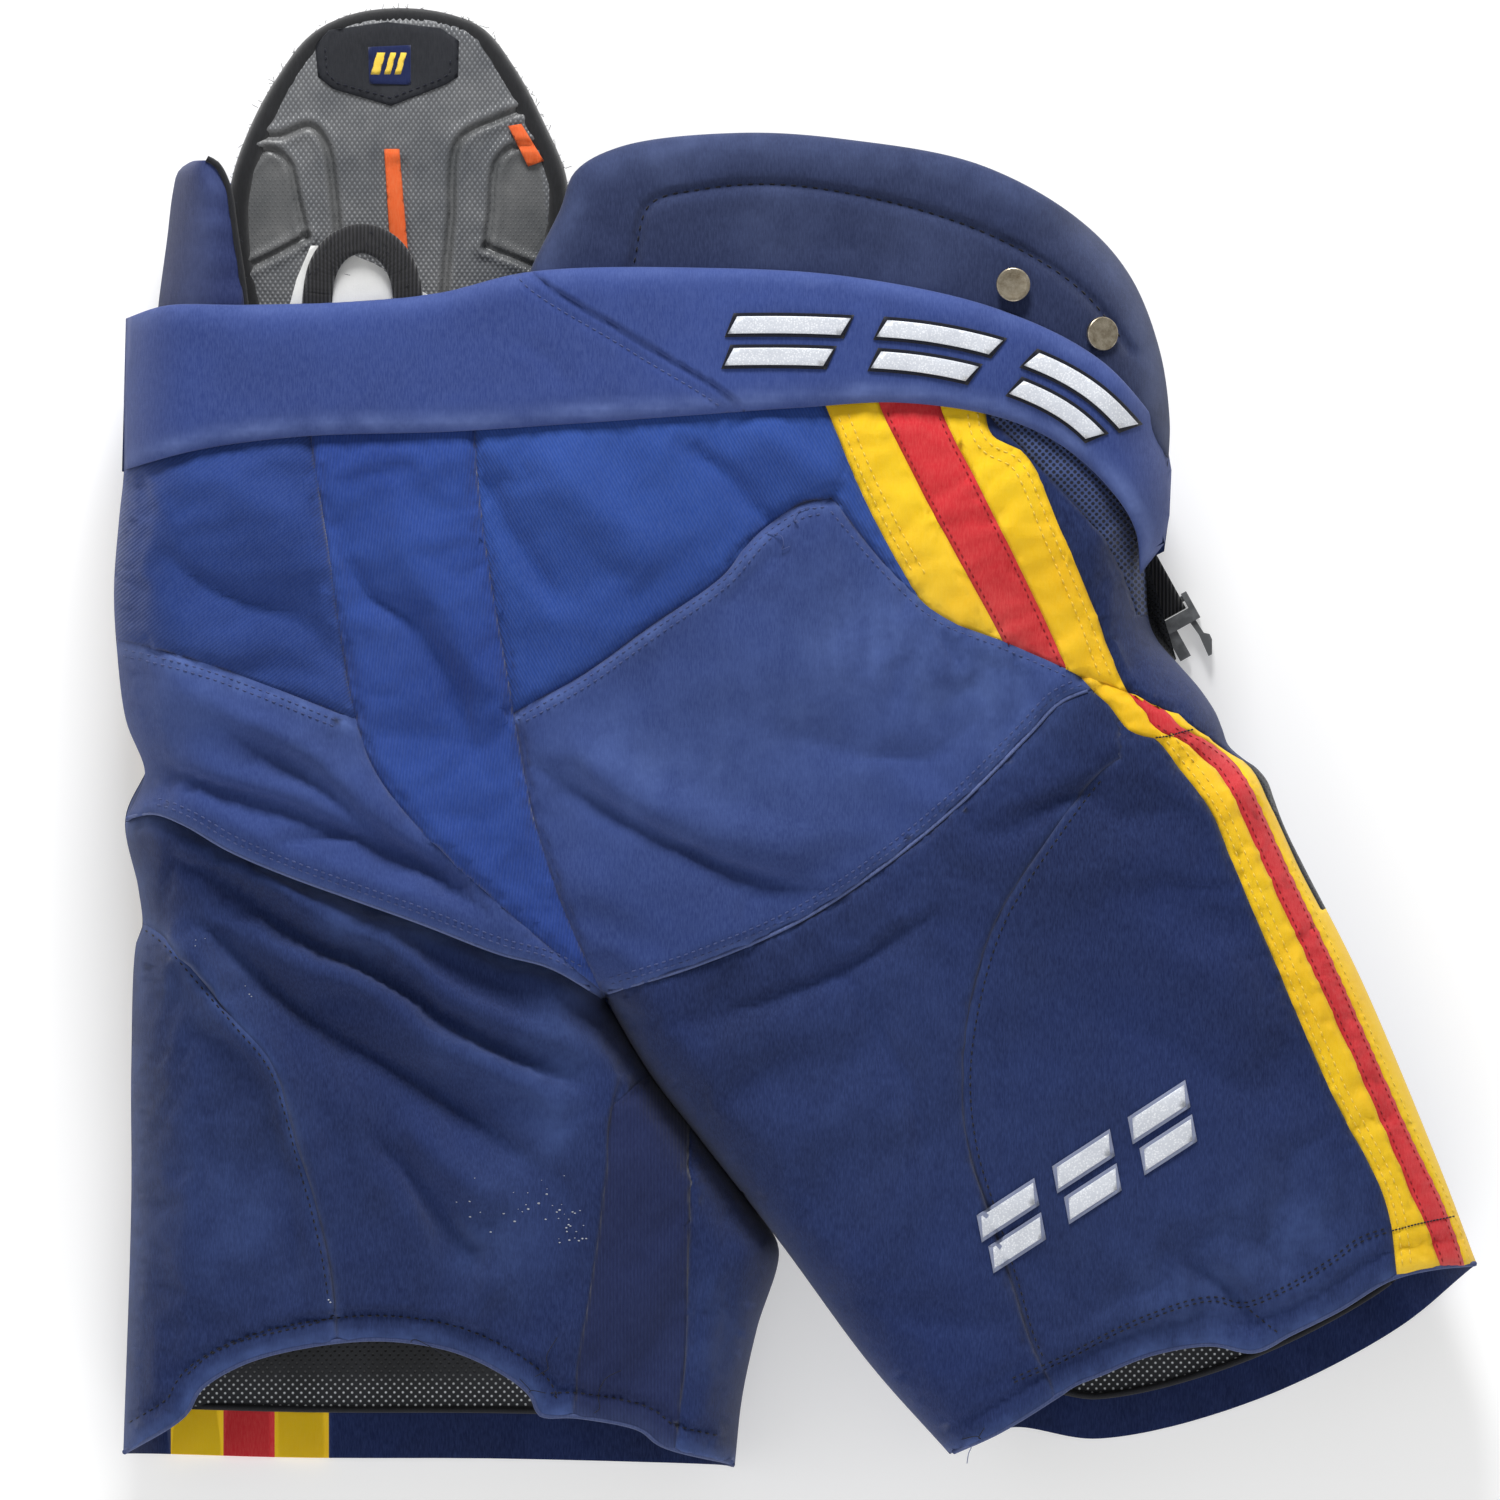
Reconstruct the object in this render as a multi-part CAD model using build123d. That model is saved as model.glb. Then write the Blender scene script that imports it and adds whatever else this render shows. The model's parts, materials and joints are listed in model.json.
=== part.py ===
"""Ice hockey pants lying face down, as a worn pair rests on a bench: seat up, waist towards +Y.

Millimetres, +Z up. The origin is under the middle of the whole object, on the surface it lies on.
The shell is a wide, flattened waist tube that divides into two flattened leg tubes. Every layer
(band, shell, guard, foam, lining) is a slice of the same tubes, cut to outline along its seams.
"""

from build123d import *
import math
import os

# ---- driving dimensions: layers, as distances in from the shell's outer face ---------------------
SHELL = 2.0
GAP = 0.4
GUARD = 3.0
FOAM = 9.0
LINING = 1.5
BAND = 6.6
PAD = 13.0
GUARD_IN = SHELL + GAP
FOAM_IN = GUARD_IN + GUARD + GAP
LINING_IN = FOAM_IN + FOAM + GAP
PAD_IN = SHELL + GAP
SPINE_IN = 27.5
SPINE = 12.0
SPLIT_Z = 62.0  # height of the side seams, between back panels and front panels
REACH = 420.0  # further than any part of the pants
TALL = 200.0

# ---- tubes: (left edge, right edge, lowest z, highest z) of each section -------------------------
WAIST = [
    ((-312, 312), (191, 312), 6.0, 135.0),
    ((-320, 224), (187, 224), 6.0, 135.0),
    ((-329, 212), (186, 208), 6.0, 135.0),
    ((-331, 128), (181, 128), 6.0, 135.0),
    ((-342, 68), (187, 58), 5.0, 133.0),
    ((-331, 10), (202, 18), 3.0, 128.0),
    ((-327, -25), (222, -10), 2.0, 125.0),
    ((-327, -140), (262, -140), 2.0, 122.0),
]
RIGHT_LEG = [
    ((-98, -133), (205, 15), -1.0, 122.0),
    ((-72, -167), (229, -26), -1.0, 120.0),
    ((-46, -201), (254, -66), -1.0, 116.0),
    ((14, -278), (299, -165), -1.0, 108.0),
    ((82, -365), (343.3, -271), -1.0, 98.0),
]
LEFT_LEG = [
    ((-334, -38), (-101, -134), -1.0, 116.0),
    ((-331, -84), (-79, -168), -1.0, 112.0),
    ((-330, -130), (-57, -202), -1.0, 106.0),
    ((-333, -235), (-19, -260), -1.0, 98.0),
    ((-337, -366), (-32, -368), -1.0, 90.0),
]
CROTCH = (-99, -133)
ROOTS = [(-REACH, 1), (-334, -36), CROTCH, (205, 17), (REACH, 121)]

# ---- how the legs swing: centre and radius of the line where each leg meets the waist ------------
RIGHT_HIP = (20, 20)
RIGHT_SWING_R = 191.0
LEFT_HIP = (-188, -14)
LEFT_SWING_R = 147.0
SWING_GAP = 0.5

# ---- seams and edges, seen from above ------------------------------------------------------------
BAND_TOP = [(-380, 208), (-336, 210), (-274, 217), (-178, 223), (-134, 232), (-48, 235),
            (27, 231), (102, 214), (152, 189), (186, 152), (215, 110)]
BAND_LOW = [(-380, 130), (-336, 134), (-248, 151), (-118, 157), (2, 165), (52, 168),
            (102, 160), (132, 147), (157, 124), (176, 92), (190, 60)]
FRONT_BAND_TOP = [(-380, 214), (-336, 210), (-270, 196), (-100, 176), (60, 165), (150, 158),
                  (186, 152), (215, 150)]
FRONT_BAND_LOW = [(-380, 140), (-336, 134), (-270, 120), (-100, 100), (60, 90), (150, 88),
                  (176, 90), (215, 92)]
BAND_JOIN = [(-165, 275), (-134, 233), (-34, 161), (0, 136)]
GUSSET_LEFT = [(-243, 240), (-242, 147), (-231, 70), (-211, -15), (-149, -83), (-97, -130)]
GUSSET_RIGHT = [(-163, 240), (-161, 152), (-150, 60), (-134, -30), (-119, -80), (-97, -130)]
SEAT_TOP_LEFT = [(-REACH, 60), (-298, 39), (-264, 27), (-223, 10), (-180, -8), (-90, -50)]
SEAT_TOP_RIGHT = [(-165, 2), (-141, 13), (-108, 32), (-38, 82), (2, 117), (22, 114), (46, 85),
                  (102, 50), (164, 16), (260, -30)]
STRIPE_LEFT = [(15, 240), (15, 164), (31, 124), (60, 70), (110, 20)]
STRIPE_RIGHT = [(94, 240), (94, 166), (114, 140), (131, 105), (152, 50), (180, -5)]
VENT_LOW = [(100, 92), (260, 84)]
SIDE_SEAM_LEFT = -312.0
STRIPE_FRONT = -236.0
FLY_X = 50.0
RIGHT_STRIPE_EDGE = [(149, 45), (184, 0), (212, -46), (237, -106), (267, -176), (294, -230),
                     (304, -290), (312, -375)]
RIGHT_BACK_SEAM = [(170, 40), (154, -15), (126, -51), (101, -90), (85, -150), (88, -206),
                   (109, -276), (122, -345), (126, -385)]
LEFT_BACK_SEAM = [(-390, 20), (-345, -80), (-328, -98), (-298, -118), (-258, -176), (-248, -221),
                  (-236, -291), (-230, -375)]
LEFT_KNIT_LEFT = [(-80, 20), (-80, -120), (-86, -185), (-106, -295), (-112, -375)]
LEFT_KNIT_RIGHT = [(-56, 20), (-56, -120), (-53, -185), (-57, -320), (-66, -375)]
RIGHT_BACK_HEM = [(60, -358), (90, -356), (106, -342), (146, -312), (202, -300), (246, -298),
                  (300, -268), (372, -256)]
RIGHT_FRONT_HEM = [(60, -358), (106, -347), (151, -351), (227, -333), (301, -296), (372, -246)]
LEFT_BACK_HEM = [(-360, -359), (-318, -350), (-298, -326), (-249, -305), (-208, -300),
                 (-174, -305), (-136, -328), (-111, -339), (-68, -353), (-10, -363)]
LEFT_FRONT_HEM = [(-360, -359), (-250, -360.5), (-100, -364), (-50, -364.5), (-10, -364.2)]
KIDNEY_RIGHT = [(-133, 239), (-118, 265), (-100, 288), (-72, 299), (-28, 303), (27, 299),
                (92, 287), (142, 259), (168, 231), (192, 186)]
KIDNEY_RIGHT_LOW = [(192, 158), (156, 195), (104, 220), (27, 237), (-48, 241), (-133, 239)]
KIDNEY_LEFT = [(-345, 222), (-345, 282), (-306, 290), (-296, 291), (-287, 283), (-279, 254),
               (-276, 224)]
KIDNEY_LEFT_FRONT = [(-345, 222), (-345, 282), (-300, 285), (-250, 262), (-215, 226),
                     (-206, 194), (-270, 202)]
SPINE_EDGE = [(-254, 140), (-266, 170), (-276, 210), (-283, 250), (-283, 278), (-271, 309),
              (-258, 332), (-244, 350), (-225, 361), (-200, 364.5), (-175, 361), (-156, 350),
              (-142, 332), (-128, 309), (-116, 278), (-116, 250), (-123, 210), (-134, 170),
              (-146, 140)]
SPINE_X = -199.0

# ---- small hardware ------------------------------------------------------------------------------
CAP_R = 8.5
CAP = 2.0
DISH_R = 38.8  # radius of the shallow hollow in a cap, 0.6 deep
DISH = 0.6
NECK_R = 2.8
NECK = 3.6
POST_R = 1.4
RIVET_R = 4.5
RIVET = 1.4
BUTTONS = {  # name: (x, y, z of the pad's face, turn of its outward normal from +Z towards +X)
    "right_inner": (108.0, 227.0, 132.6, 0.0),
    "right_outer": (150.5, 202.5, 126.6, 26.0),
    "left_inner": (-240.0, 226.0, 8.4, 180.0),
    "left_outer": (-288.0, 240.0, 17.0, 213.6),
}
EYELETS = [(36.0, 72.0), (64.0, 72.0), (36.0, 47.0), (64.0, 47.0), (36.0, 22.0), (64.0, 22.0)]
WEB = 25.0
WEB_THICK = 1.5
BUCKLE_AT = (182.0, 64.0)
BUCKLE_TURN = 29.0
BUCKLE_Z = 4.6
PRONG_X = 12.0
PRONG_Y = -9.5

parts = {}


# ---- tubes and cutting shapes --------------------------------------------------------------------
def section(left, right, low, high, inset):
    """A rounded section that stands between two edge points, shrunk by inset all round."""
    height = high - low - 2 * inset
    width = math.dist(left, right) - 2 * inset
    across = Vector(right[0] - left[0], right[1] - left[1]).normalized()
    centre = ((left[0] + right[0]) / 2, (left[1] + right[1]) / 2, (low + high) / 2)
    plane = Plane(origin=centre, x_dir=across, z_dir=(across.Y, -across.X, 0))
    return plane * RectangleRounded(width, height, 0.48 * height)


def tube(stations, inset):
    """The solid inside a tube's outer face, inset from it."""
    return loft([section(*station, inset) for station in stations], ruled=True)


def layer(stations, outer, inner):
    """The wall of a tube between two insets."""
    return tube(stations, outer) - tube(stations, inner)


def wall(*curves, low=-TALL, high=TALL):
    """Everything inside an outline seen from above, made of curves joined by straight edges."""
    edges = []
    for number, points in enumerate(curves):
        edges.append(Spline(*points) if len(points) > 2 else Line(*points))
        following = curves[(number + 1) % len(curves)][0]
        if math.dist(points[-1], following) > 1e-6:
            edges.append(Line(points[-1], following))
    return extrude(Plane.XY.offset(low) * make_face(edges), high - low)


def block(left, right, near, far, low=-TALL, high=TALL):
    """An upright box given by its limits in x, y and z."""
    centre = ((left + right) / 2, (near + far) / 2, (low + high) / 2)
    return Pos(*centre) * Box(right - left, far - near, high - low)


def below(curve):
    """Everything on the hem's side of a curve that runs from left to right."""
    return wall(curve, [(curve[-1][0], -REACH), (curve[0][0], -REACH)])


def left_of(curve):
    """Everything to the left of a curve that runs from the waist to the hem."""
    return wall(curve, [(-REACH, curve[-1][1]), (-REACH, curve[0][1])])


def post(radius, low, high):
    """A round bar on the Z axis between two heights."""
    return Pos(0, 0, (low + high) / 2) * Cylinder(radius, high - low)


def keep(name, shape):
    """Store a part without the slivers that a cut can leave."""
    parts[name] = [solid for solid in shape.solids() if solid.volume > 8]


BACK = block(-REACH, REACH, -REACH, REACH, SPLIT_Z, TALL)
FRONT = block(-REACH, REACH, -REACH, REACH, -TALL, SPLIT_Z)
ABOVE_GROUND = block(-REACH, REACH, -REACH, REACH, 0, TALL)


# ---- waist ---------------------------------------------------------------------------------------
def waist_back(shell, wrapped):
    """Back of the waist: centre gusset, hips, seat, the striped side and its vent."""
    left = left_of(GUSSET_LEFT + [(-97, -REACH)])
    beside_gusset = left_of(GUSSET_RIGHT + [(-97, -REACH)])
    seat_left = below(SEAT_TOP_LEFT)
    seat_right = below(SEAT_TOP_RIGHT)
    stripe = wall(STRIPE_LEFT, STRIPE_RIGHT[::-1])
    vent_low = below(VENT_LOW)
    keep("seat_gusset", (shell & beside_gusset) - left)
    left_side = (shell & left) + wrapped
    keep("hip_panel_left", left_side - seat_left)
    keep("seat_panel_left", left_side & seat_left)
    right = shell - beside_gusset
    keep("seat_panel_right", right & seat_right)
    hip = right - seat_right
    keep("stripe_upper_right", hip & stripe)
    outside = hip - left_of(STRIPE_RIGHT)
    keep("hip_panel_right", hip & left_of(STRIPE_LEFT))
    keep("vent_panel_right", outside - vent_low)
    keep("side_panel_right", outside & vent_low)


def waist_front(shell):
    """Front of the waist: two panels that meet at the fly, and the left side's stripe."""
    holes = [Pos(x, y, 0) * Cylinder(3.1, TALL) for x, y in EYELETS]
    keep("stripe_upper_left", shell & block(SIDE_SEAM_LEFT, STRIPE_FRONT, -REACH, REACH))
    keep("front_panel_left", (shell & block(STRIPE_FRONT, FLY_X, -REACH, REACH)) - holes)
    keep("front_panel_right", (shell & block(FLY_X, REACH, -REACH, REACH)) - holes)
    flap = layer(WAIST, GUARD_IN, GUARD_IN + 1.5) & block(24, 76, -20, 88, -TALL, 30)
    keep("fly_flap", flap - holes)


def fly_eyelets():
    """Six brass eyelets through both fly edges and the flap behind them."""
    rings = []
    for x, y in EYELETS:
        outer_face = 5.0 if y > 60 else 3.0 + 2.0 * (y - 15) / 48
        barrel = post(3.0, outer_face - 0.8, outer_face + 5.2)
        flange = post(5.0, outer_face - 0.8, outer_face - 0.3)
        washer = post(5.0, outer_face + 4.4, outer_face + 5.2)
        rings.append(Pos(x, y, 0) * (barrel + flange + washer - post(2.2, -TALL, TALL)))
    keep("fly_eyelets", Compound(rings))


def waist_band():
    """The padded band round the waist, in two lengths that meet at a slanted join."""
    band = layer(WAIST, -BAND, -0.3)
    back = band & wall(BAND_TOP, BAND_LOW[::-1], low=SPLIT_Z)
    front = band & wall(FRONT_BAND_TOP, FRONT_BAND_LOW[::-1], high=SPLIT_Z)
    join = wall(BAND_JOIN, [(0, -REACH), (-REACH, -REACH)], [(-REACH, -REACH), (-REACH, 275)])
    fly = block(-REACH, FLY_X, -REACH, REACH)
    keep("waist_band_left", (back & join) + (front & fly))
    keep("waist_band_right", (back - join) + (front - fly))


def waist():
    """Shell, band and fly."""
    cover = wall(BAND_TOP, [(215, -REACH), (-380, -REACH)])
    front_cover = wall(FRONT_BAND_TOP, [(215, -REACH), (-380, -REACH)])
    roots = extrude(Plane.XY.offset(-TALL) * make_face(
        Polyline(*ROOTS, (REACH, REACH), (-REACH, REACH), close=True)), 2 * TALL)
    shell = layer(WAIST, 0, SHELL) & roots
    front = shell & FRONT & front_cover
    waist_back(shell & BACK & cover, front & block(-REACH, SIDE_SEAM_LEFT, -REACH, REACH))
    waist_front(front)
    fly_eyelets()
    waist_band()


def waist_padding():
    """Hip caps with their foam, the tailbone pad and the lining."""
    hips = block(122, 230, 34, 126) + block(-REACH, -286, 30, 118)
    keep("hip_caps", layer(WAIST, GUARD_IN, GUARD_IN + GUARD) & hips)
    keep("hip_foams", layer(WAIST, FOAM_IN, FOAM_IN + FOAM) & hips)
    tail = wall([(-246, 122), (-152, 122)], [(-176, 20), (-222, 20)], low=SPLIT_Z)
    lumbar = block(-246, -152, 116, 200, SPLIT_Z, TALL)
    pad = (layer(WAIST, GUARD_IN, FOAM_IN + FOAM) & tail)
    keep("tailbone_pad", pad + (layer(WAIST, PAD_IN, SPINE_IN - 0.4) & lumbar))
    lined = block(-REACH, REACH, 34, 114)
    keep("waist_lining", layer(WAIST, LINING_IN, LINING_IN + LINING) & lined)


# ---- kidney pads and spine guard -----------------------------------------------------------------
def button_parts(x, y, z, turn):
    """Cap, rivet and drill of one tack button, standing on its pad's outer face."""
    place = Pos(x, y, z) * Rot(0, turn, 0)
    cap = post(CAP_R, 0.3 + NECK, 0.3 + NECK + CAP)
    cap = fillet(cap.edges().sort_by(Axis.Z)[-1], 0.8)
    cap = cap - Pos(0, 0, 0.3 + NECK + CAP + DISH_R - DISH) * Sphere(DISH_R)
    cap = cap + post(NECK_R, 0.3, 0.3 + NECK) - post(POST_R + 0.15, 0, NECK)
    rivet = post(POST_R, -PAD - 0.9, NECK - 0.3) + post(RIVET_R, -PAD - 0.9 - RIVET, -PAD - 0.9)
    return place * cap, place * rivet, place * post(POST_R + 0.1, -PAD - 3, 3)


def kidney_pads():
    """The foam flaps above the waist band on each side of the spine guard, with their buttons."""
    slab = layer(WAIST, PAD_IN, PAD_IN + PAD)
    right = wall(KIDNEY_RIGHT, KIDNEY_RIGHT_LOW, low=40)
    left = extrude(Plane.XY.offset(SPLIT_Z) * make_face(Polyline(*KIDNEY_LEFT, close=True)), 100)
    left_front = extrude(Plane.XY * make_face(Polyline(*KIDNEY_LEFT_FRONT, close=True)), SPLIT_Z)
    pads = {"right": slab & right, "left": (slab & left) + (slab & left_front)}
    for side, pad in pads.items():
        rivets = []
        for name, spot in BUTTONS.items():
            if name.startswith(side):
                cap, rivet, drill = button_parts(*spot)
                keep(f"button_{name}", cap)
                rivets += rivet.solids()
                pad = pad - drill
        keep(f"kidney_pad_{side}", pad)
        keep(f"kidney_rivets_{side}", Compound(rivets))


def spine_guard():
    """The moulded guard over the lower spine, with its binding, patch, stiffener, badge and tab."""
    high = WAIST[0][3] - SPINE_IN
    low = high - SPINE
    edge = make_face(Polyline(*SPINE_EDGE, close=True))
    core = offset(edge, amount=-5.0, kind=Kind.INTERSECTION)
    rim_hole = offset(edge, amount=-4.6, kind=Kind.INTERSECTION)
    slot = Pos(SPINE_X, 262) * RectangleRounded(7.4, 56, 1)
    strip = Pos(SPINE_X, 262) * RectangleRounded(6.8, 55.4, 0.8)
    patch = make_face(Polyline((-234, 346), (-168, 347), (-170, 328), (-200, 315), (-234, 328),
                               close=True))
    badge = Pos(SPINE_X, 337) * RectangleRounded(21, 18, 1)
    tab = Pos(-135, 294) * Rot(0, 0, 28) * Rectangle(9, 20)
    foam = extrude(Plane.XY.offset(low) * core, SPINE - 1.8)
    foam = foam - extrude(Plane.XY.offset(high - 5) * slot, 10)
    rim = extrude(Plane.XY.offset(low + 2) * (edge - rim_hole), SPINE - 4)
    keep("spine_guard_foam", foam)
    keep("spine_guard_binding", rim)
    keep("spine_guard_insert", extrude(Plane.XY.offset(high - 4.8) * strip, 3.4))
    keep("spine_guard_cap", extrude(Plane.XY.offset(high - 1.7) * patch, 0.8))
    keep("number_patch", extrude(Plane.XY.offset(high - 0.8) * badge, 0.7))
    keep("spine_guard_tab", extrude(Plane.XY.offset(high - 1.7) * tab, 1.4))


def hang_loop():
    """The webbing loop at the centre back, its sewn ends and the care label behind it."""
    high = WAIST[0][3] - SHELL - GAP
    outer = wall([(-247, 226), (-240, 248), (-217, 256), (-195, 248), (-188, 226)],
                 low=high - 1.8, high=high)
    inner = wall([(-235, 225), (-231, 238), (-217, 244), (-204, 238), (-200, 225)],
                 low=high - 3, high=high + 1)
    keep("hang_loop", outer - inner)
    ends = block(-247, -235, 206, 225.6, high - 1.8, high)
    keep("hang_loop_ends", ends + block(-200, -188, 206, 225.6, high - 1.8, high))
    keep("care_label", block(-256, -184, 208, 249, high - 2.9, high - 2.3))


# ---- legs ----------------------------------------------------------------------------------------
def leg_core(side, stations, inside, outside, back_hem, front_hem):
    """A leg's yoke, its shell below the swing line, and the guard, foam and lining inside."""
    shell = layer(stations, 0, SHELL)
    keep(f"{side}_yoke", shell & inside)
    shell = shell - outside
    back = (shell & BACK) - below(back_hem)
    front = (shell & FRONT) - below(front_hem)
    raised = [(x, y + 24) for x, y in back_hem]
    room = [outside, below(raised)]
    tray = block(-REACH, REACH, -REACH, REACH, -TALL, 34)
    keep(f"{side}_thigh_guard", (layer(stations, GUARD_IN, GUARD_IN + GUARD) & tray) - room)
    keep(f"{side}_thigh_foam", (layer(stations, FOAM_IN, FOAM_IN + FOAM) & tray) - room)
    keep(f"{side}_lining", layer(stations, LINING_IN, LINING_IN + LINING) - room)
    return back, front


def right_leg():
    """The right leg: two back panels, the side stripe and the front."""
    outside = Pos(*RIGHT_HIP) * Cylinder(RIGHT_SWING_R + SWING_GAP, 2 * TALL)
    inside = Pos(*RIGHT_HIP) * Cylinder(RIGHT_SWING_R - SWING_GAP, 2 * TALL)
    back, front = leg_core("right", RIGHT_LEG, inside, outside, RIGHT_BACK_HEM, RIGHT_FRONT_HEM)
    seam = left_of(RIGHT_BACK_SEAM)
    stripe = left_of(RIGHT_STRIPE_EDGE)
    keep("right_back_inner", back & seam)
    keep("right_back_outer", (back - seam) & stripe)
    keep("right_stripe", back - stripe)
    keep("right_front", front)


def left_leg():
    """The left leg: two back panels, the inner knit strip, the front and its stripe."""
    outside = Pos(*LEFT_HIP) * Cylinder(LEFT_SWING_R + SWING_GAP, 2 * TALL)
    inside = Pos(*LEFT_HIP) * Cylinder(LEFT_SWING_R - SWING_GAP, 2 * TALL)
    back, front = leg_core("left", LEFT_LEG, inside, outside, LEFT_BACK_HEM, LEFT_FRONT_HEM)
    seam = left_of(LEFT_BACK_SEAM)
    knit_left = left_of(LEFT_KNIT_LEFT)
    knit_right = left_of(LEFT_KNIT_RIGHT)
    side = front & block(-REACH, SIDE_SEAM_LEFT, -REACH, REACH)
    keep("left_back_outer", (back & seam) + (side & seam))
    keep("left_back_middle", ((back - seam) & knit_left) + (side - seam))
    keep("left_knit_strip", (back - knit_left) & knit_right)
    keep("left_back_inner", back - knit_right)
    keep("left_stripe", front & block(SIDE_SEAM_LEFT, STRIPE_FRONT, -REACH, REACH))
    keep("left_front", front & block(STRIPE_FRONT, REACH, -REACH, REACH))


# ---- belt and buckles ----------------------------------------------------------------------------
def male_buckle():
    """The belt's male buckle: a frame with a guide tongue, and two prongs on pins."""
    place = Pos(*BUCKLE_AT, BUCKLE_Z) * Rot(0, 0, BUCKLE_TURN)
    frame = block(-16.5, 16.5, -12.5, -5.5, -3.7, 3.7) + block(-3, 3, -27, -12, -1.6, 1.6)
    frame = frame + Rot(0, 90, 0) * Cylinder(1.5, 30)
    for side in (-1, 1):
        frame = frame + Pos(side * 15, -2, 0) * Box(3, 9, 5)
        frame = frame - Pos(side * PRONG_X, PRONG_Y, 0) * Cylinder(2.9, 5.4)
        frame = frame - Pos(side * PRONG_X, PRONG_Y - 2.5, 0) * Box(6.2, 5, 5.4)
        frame = frame + Pos(side * PRONG_X, PRONG_Y, 0) * Cylinder(0.9, 6)
        arm = make_face(Polyline((10.4, -10), (13.6, -10), (14.2, -20), (16.4, -22),
                                 (16.2, -25), (12.6, -31.5), (10.6, -31.5), (11.6, -20),
                                 close=True))
        prong = extrude(Plane.XY.offset(-2.2) * arm, 4.4)
        prong = prong + Pos(PRONG_X, PRONG_Y, 0) * Cylinder(2.4, 4.4)
        prong = prong - Pos(PRONG_X, PRONG_Y, 0) * Cylinder(1.2, 10)
        if side < 0:
            prong = mirror(prong, about=Plane.YZ)
        keep("buckle_prong_" + ("outer" if side > 0 else "inner"), place * prong)
    keep("male_buckle", place * frame)
    eye = Rot(0, 90, 0) * (Cylinder(3.4, WEB) - Cylinder(1.9, WEB + 1))
    tail = block(-WEB / 2, WEB / 2, 0, 32, 1.9, 3.4)
    keep("buckle_strap", place * (eye + tail))


def female_buckle():
    """The belt webbing inside the front of the waist, and the female buckle on its end."""
    middle_y = 137.5
    pivot_x = -72.0
    height = 13.4
    web = layer(WAIST, 2.8, 2.8 + WEB_THICK)
    web = web & block(-296, pivot_x - 4.2, middle_y - WEB / 2, middle_y + WEB / 2, 0, 40)
    place = Pos(pivot_x, middle_y, height) * Rot(90, 0, 0)
    eye = place * (Cylinder(3.4, WEB) - Cylinder(1.9, WEB + 1))
    link = block(pivot_x - 6, pivot_x - 2.0, middle_y - WEB / 2, middle_y + WEB / 2, 8.8, 12.4)
    keep("belt_webbing", web + eye + (link - place * Cylinder(1.9, WEB + 1)))
    shell = block(5, 38, -17, 17, -4.2, 4.2) - block(9, 40, -13.6, 13.6, -2.6, 2.6)
    shell = shell - block(16, 28, -20, 20, -2.6, 2.6)
    bar = Rot(90, 0, 0) * Cylinder(1.5, 31)
    cheeks = block(-2.5, 6, 13.5, 17, -2.5, 2.5) + block(-2.5, 6, -17, -13.5, -2.5, 2.5)
    keep("female_buckle", Pos(pivot_x, middle_y, height) * (shell + bar + cheeks))


def main():
    waist()
    waist_padding()
    kidney_pads()
    spine_guard()
    hang_loop()
    right_leg()
    left_leg()
    male_buckle()
    female_buckle()
    os.makedirs("parts", exist_ok=True)
    for name, solids in parts.items():
        standing = [solid & ABOVE_GROUND for solid in solids]
        pieces = [piece for shape in standing for piece in shape.solids()]
        export_step(pieces[0] if len(pieces) == 1 else Compound(pieces), f"parts/{name}.step")


main()
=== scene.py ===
"""Ice hockey pants lying face down on a pale floor. Outlines are millimetres in the row frame."""
import json
import math

import bpy
import numpy as np
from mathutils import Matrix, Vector, noise
from mathutils.bvhtree import BVHTree
from mathutils.geometry import delaunay_2d_cdt

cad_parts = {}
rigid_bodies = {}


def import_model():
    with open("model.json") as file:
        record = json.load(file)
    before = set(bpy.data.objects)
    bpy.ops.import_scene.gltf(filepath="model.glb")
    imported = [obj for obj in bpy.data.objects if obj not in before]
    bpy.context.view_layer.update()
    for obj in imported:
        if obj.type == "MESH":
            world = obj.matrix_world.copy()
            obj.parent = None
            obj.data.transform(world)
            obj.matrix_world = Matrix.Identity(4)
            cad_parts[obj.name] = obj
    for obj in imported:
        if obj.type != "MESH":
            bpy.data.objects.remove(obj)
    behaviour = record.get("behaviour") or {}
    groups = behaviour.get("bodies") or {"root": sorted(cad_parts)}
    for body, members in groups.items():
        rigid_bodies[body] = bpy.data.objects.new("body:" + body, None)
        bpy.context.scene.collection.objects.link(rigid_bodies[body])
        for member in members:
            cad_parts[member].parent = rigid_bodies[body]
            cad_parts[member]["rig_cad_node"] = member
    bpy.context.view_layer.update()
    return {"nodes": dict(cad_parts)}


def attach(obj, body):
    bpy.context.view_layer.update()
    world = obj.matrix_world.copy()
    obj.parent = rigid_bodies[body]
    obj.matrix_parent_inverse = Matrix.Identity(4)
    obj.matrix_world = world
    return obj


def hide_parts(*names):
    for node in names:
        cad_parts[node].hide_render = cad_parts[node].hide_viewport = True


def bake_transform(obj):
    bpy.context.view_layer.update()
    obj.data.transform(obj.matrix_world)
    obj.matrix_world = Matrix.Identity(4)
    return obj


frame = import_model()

MM = 0.001
GRID = 4.0
rng = np.random.default_rng(7)

# ---- camera --------------------------------------------------------------------------------------
camera_data = bpy.data.cameras.new("camera")
camera = bpy.data.objects.new("camera", camera_data)
bpy.context.scene.collection.objects.link(camera)
bpy.context.scene.camera = camera
camera_data.sensor_width = 36
camera_data.lens = 1500
camera_data.clip_end = 100
distance = 0.750 * camera_data.lens / camera_data.sensor_width
camera.location = (-0.0235, -0.0055, distance + 0.11)


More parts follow.
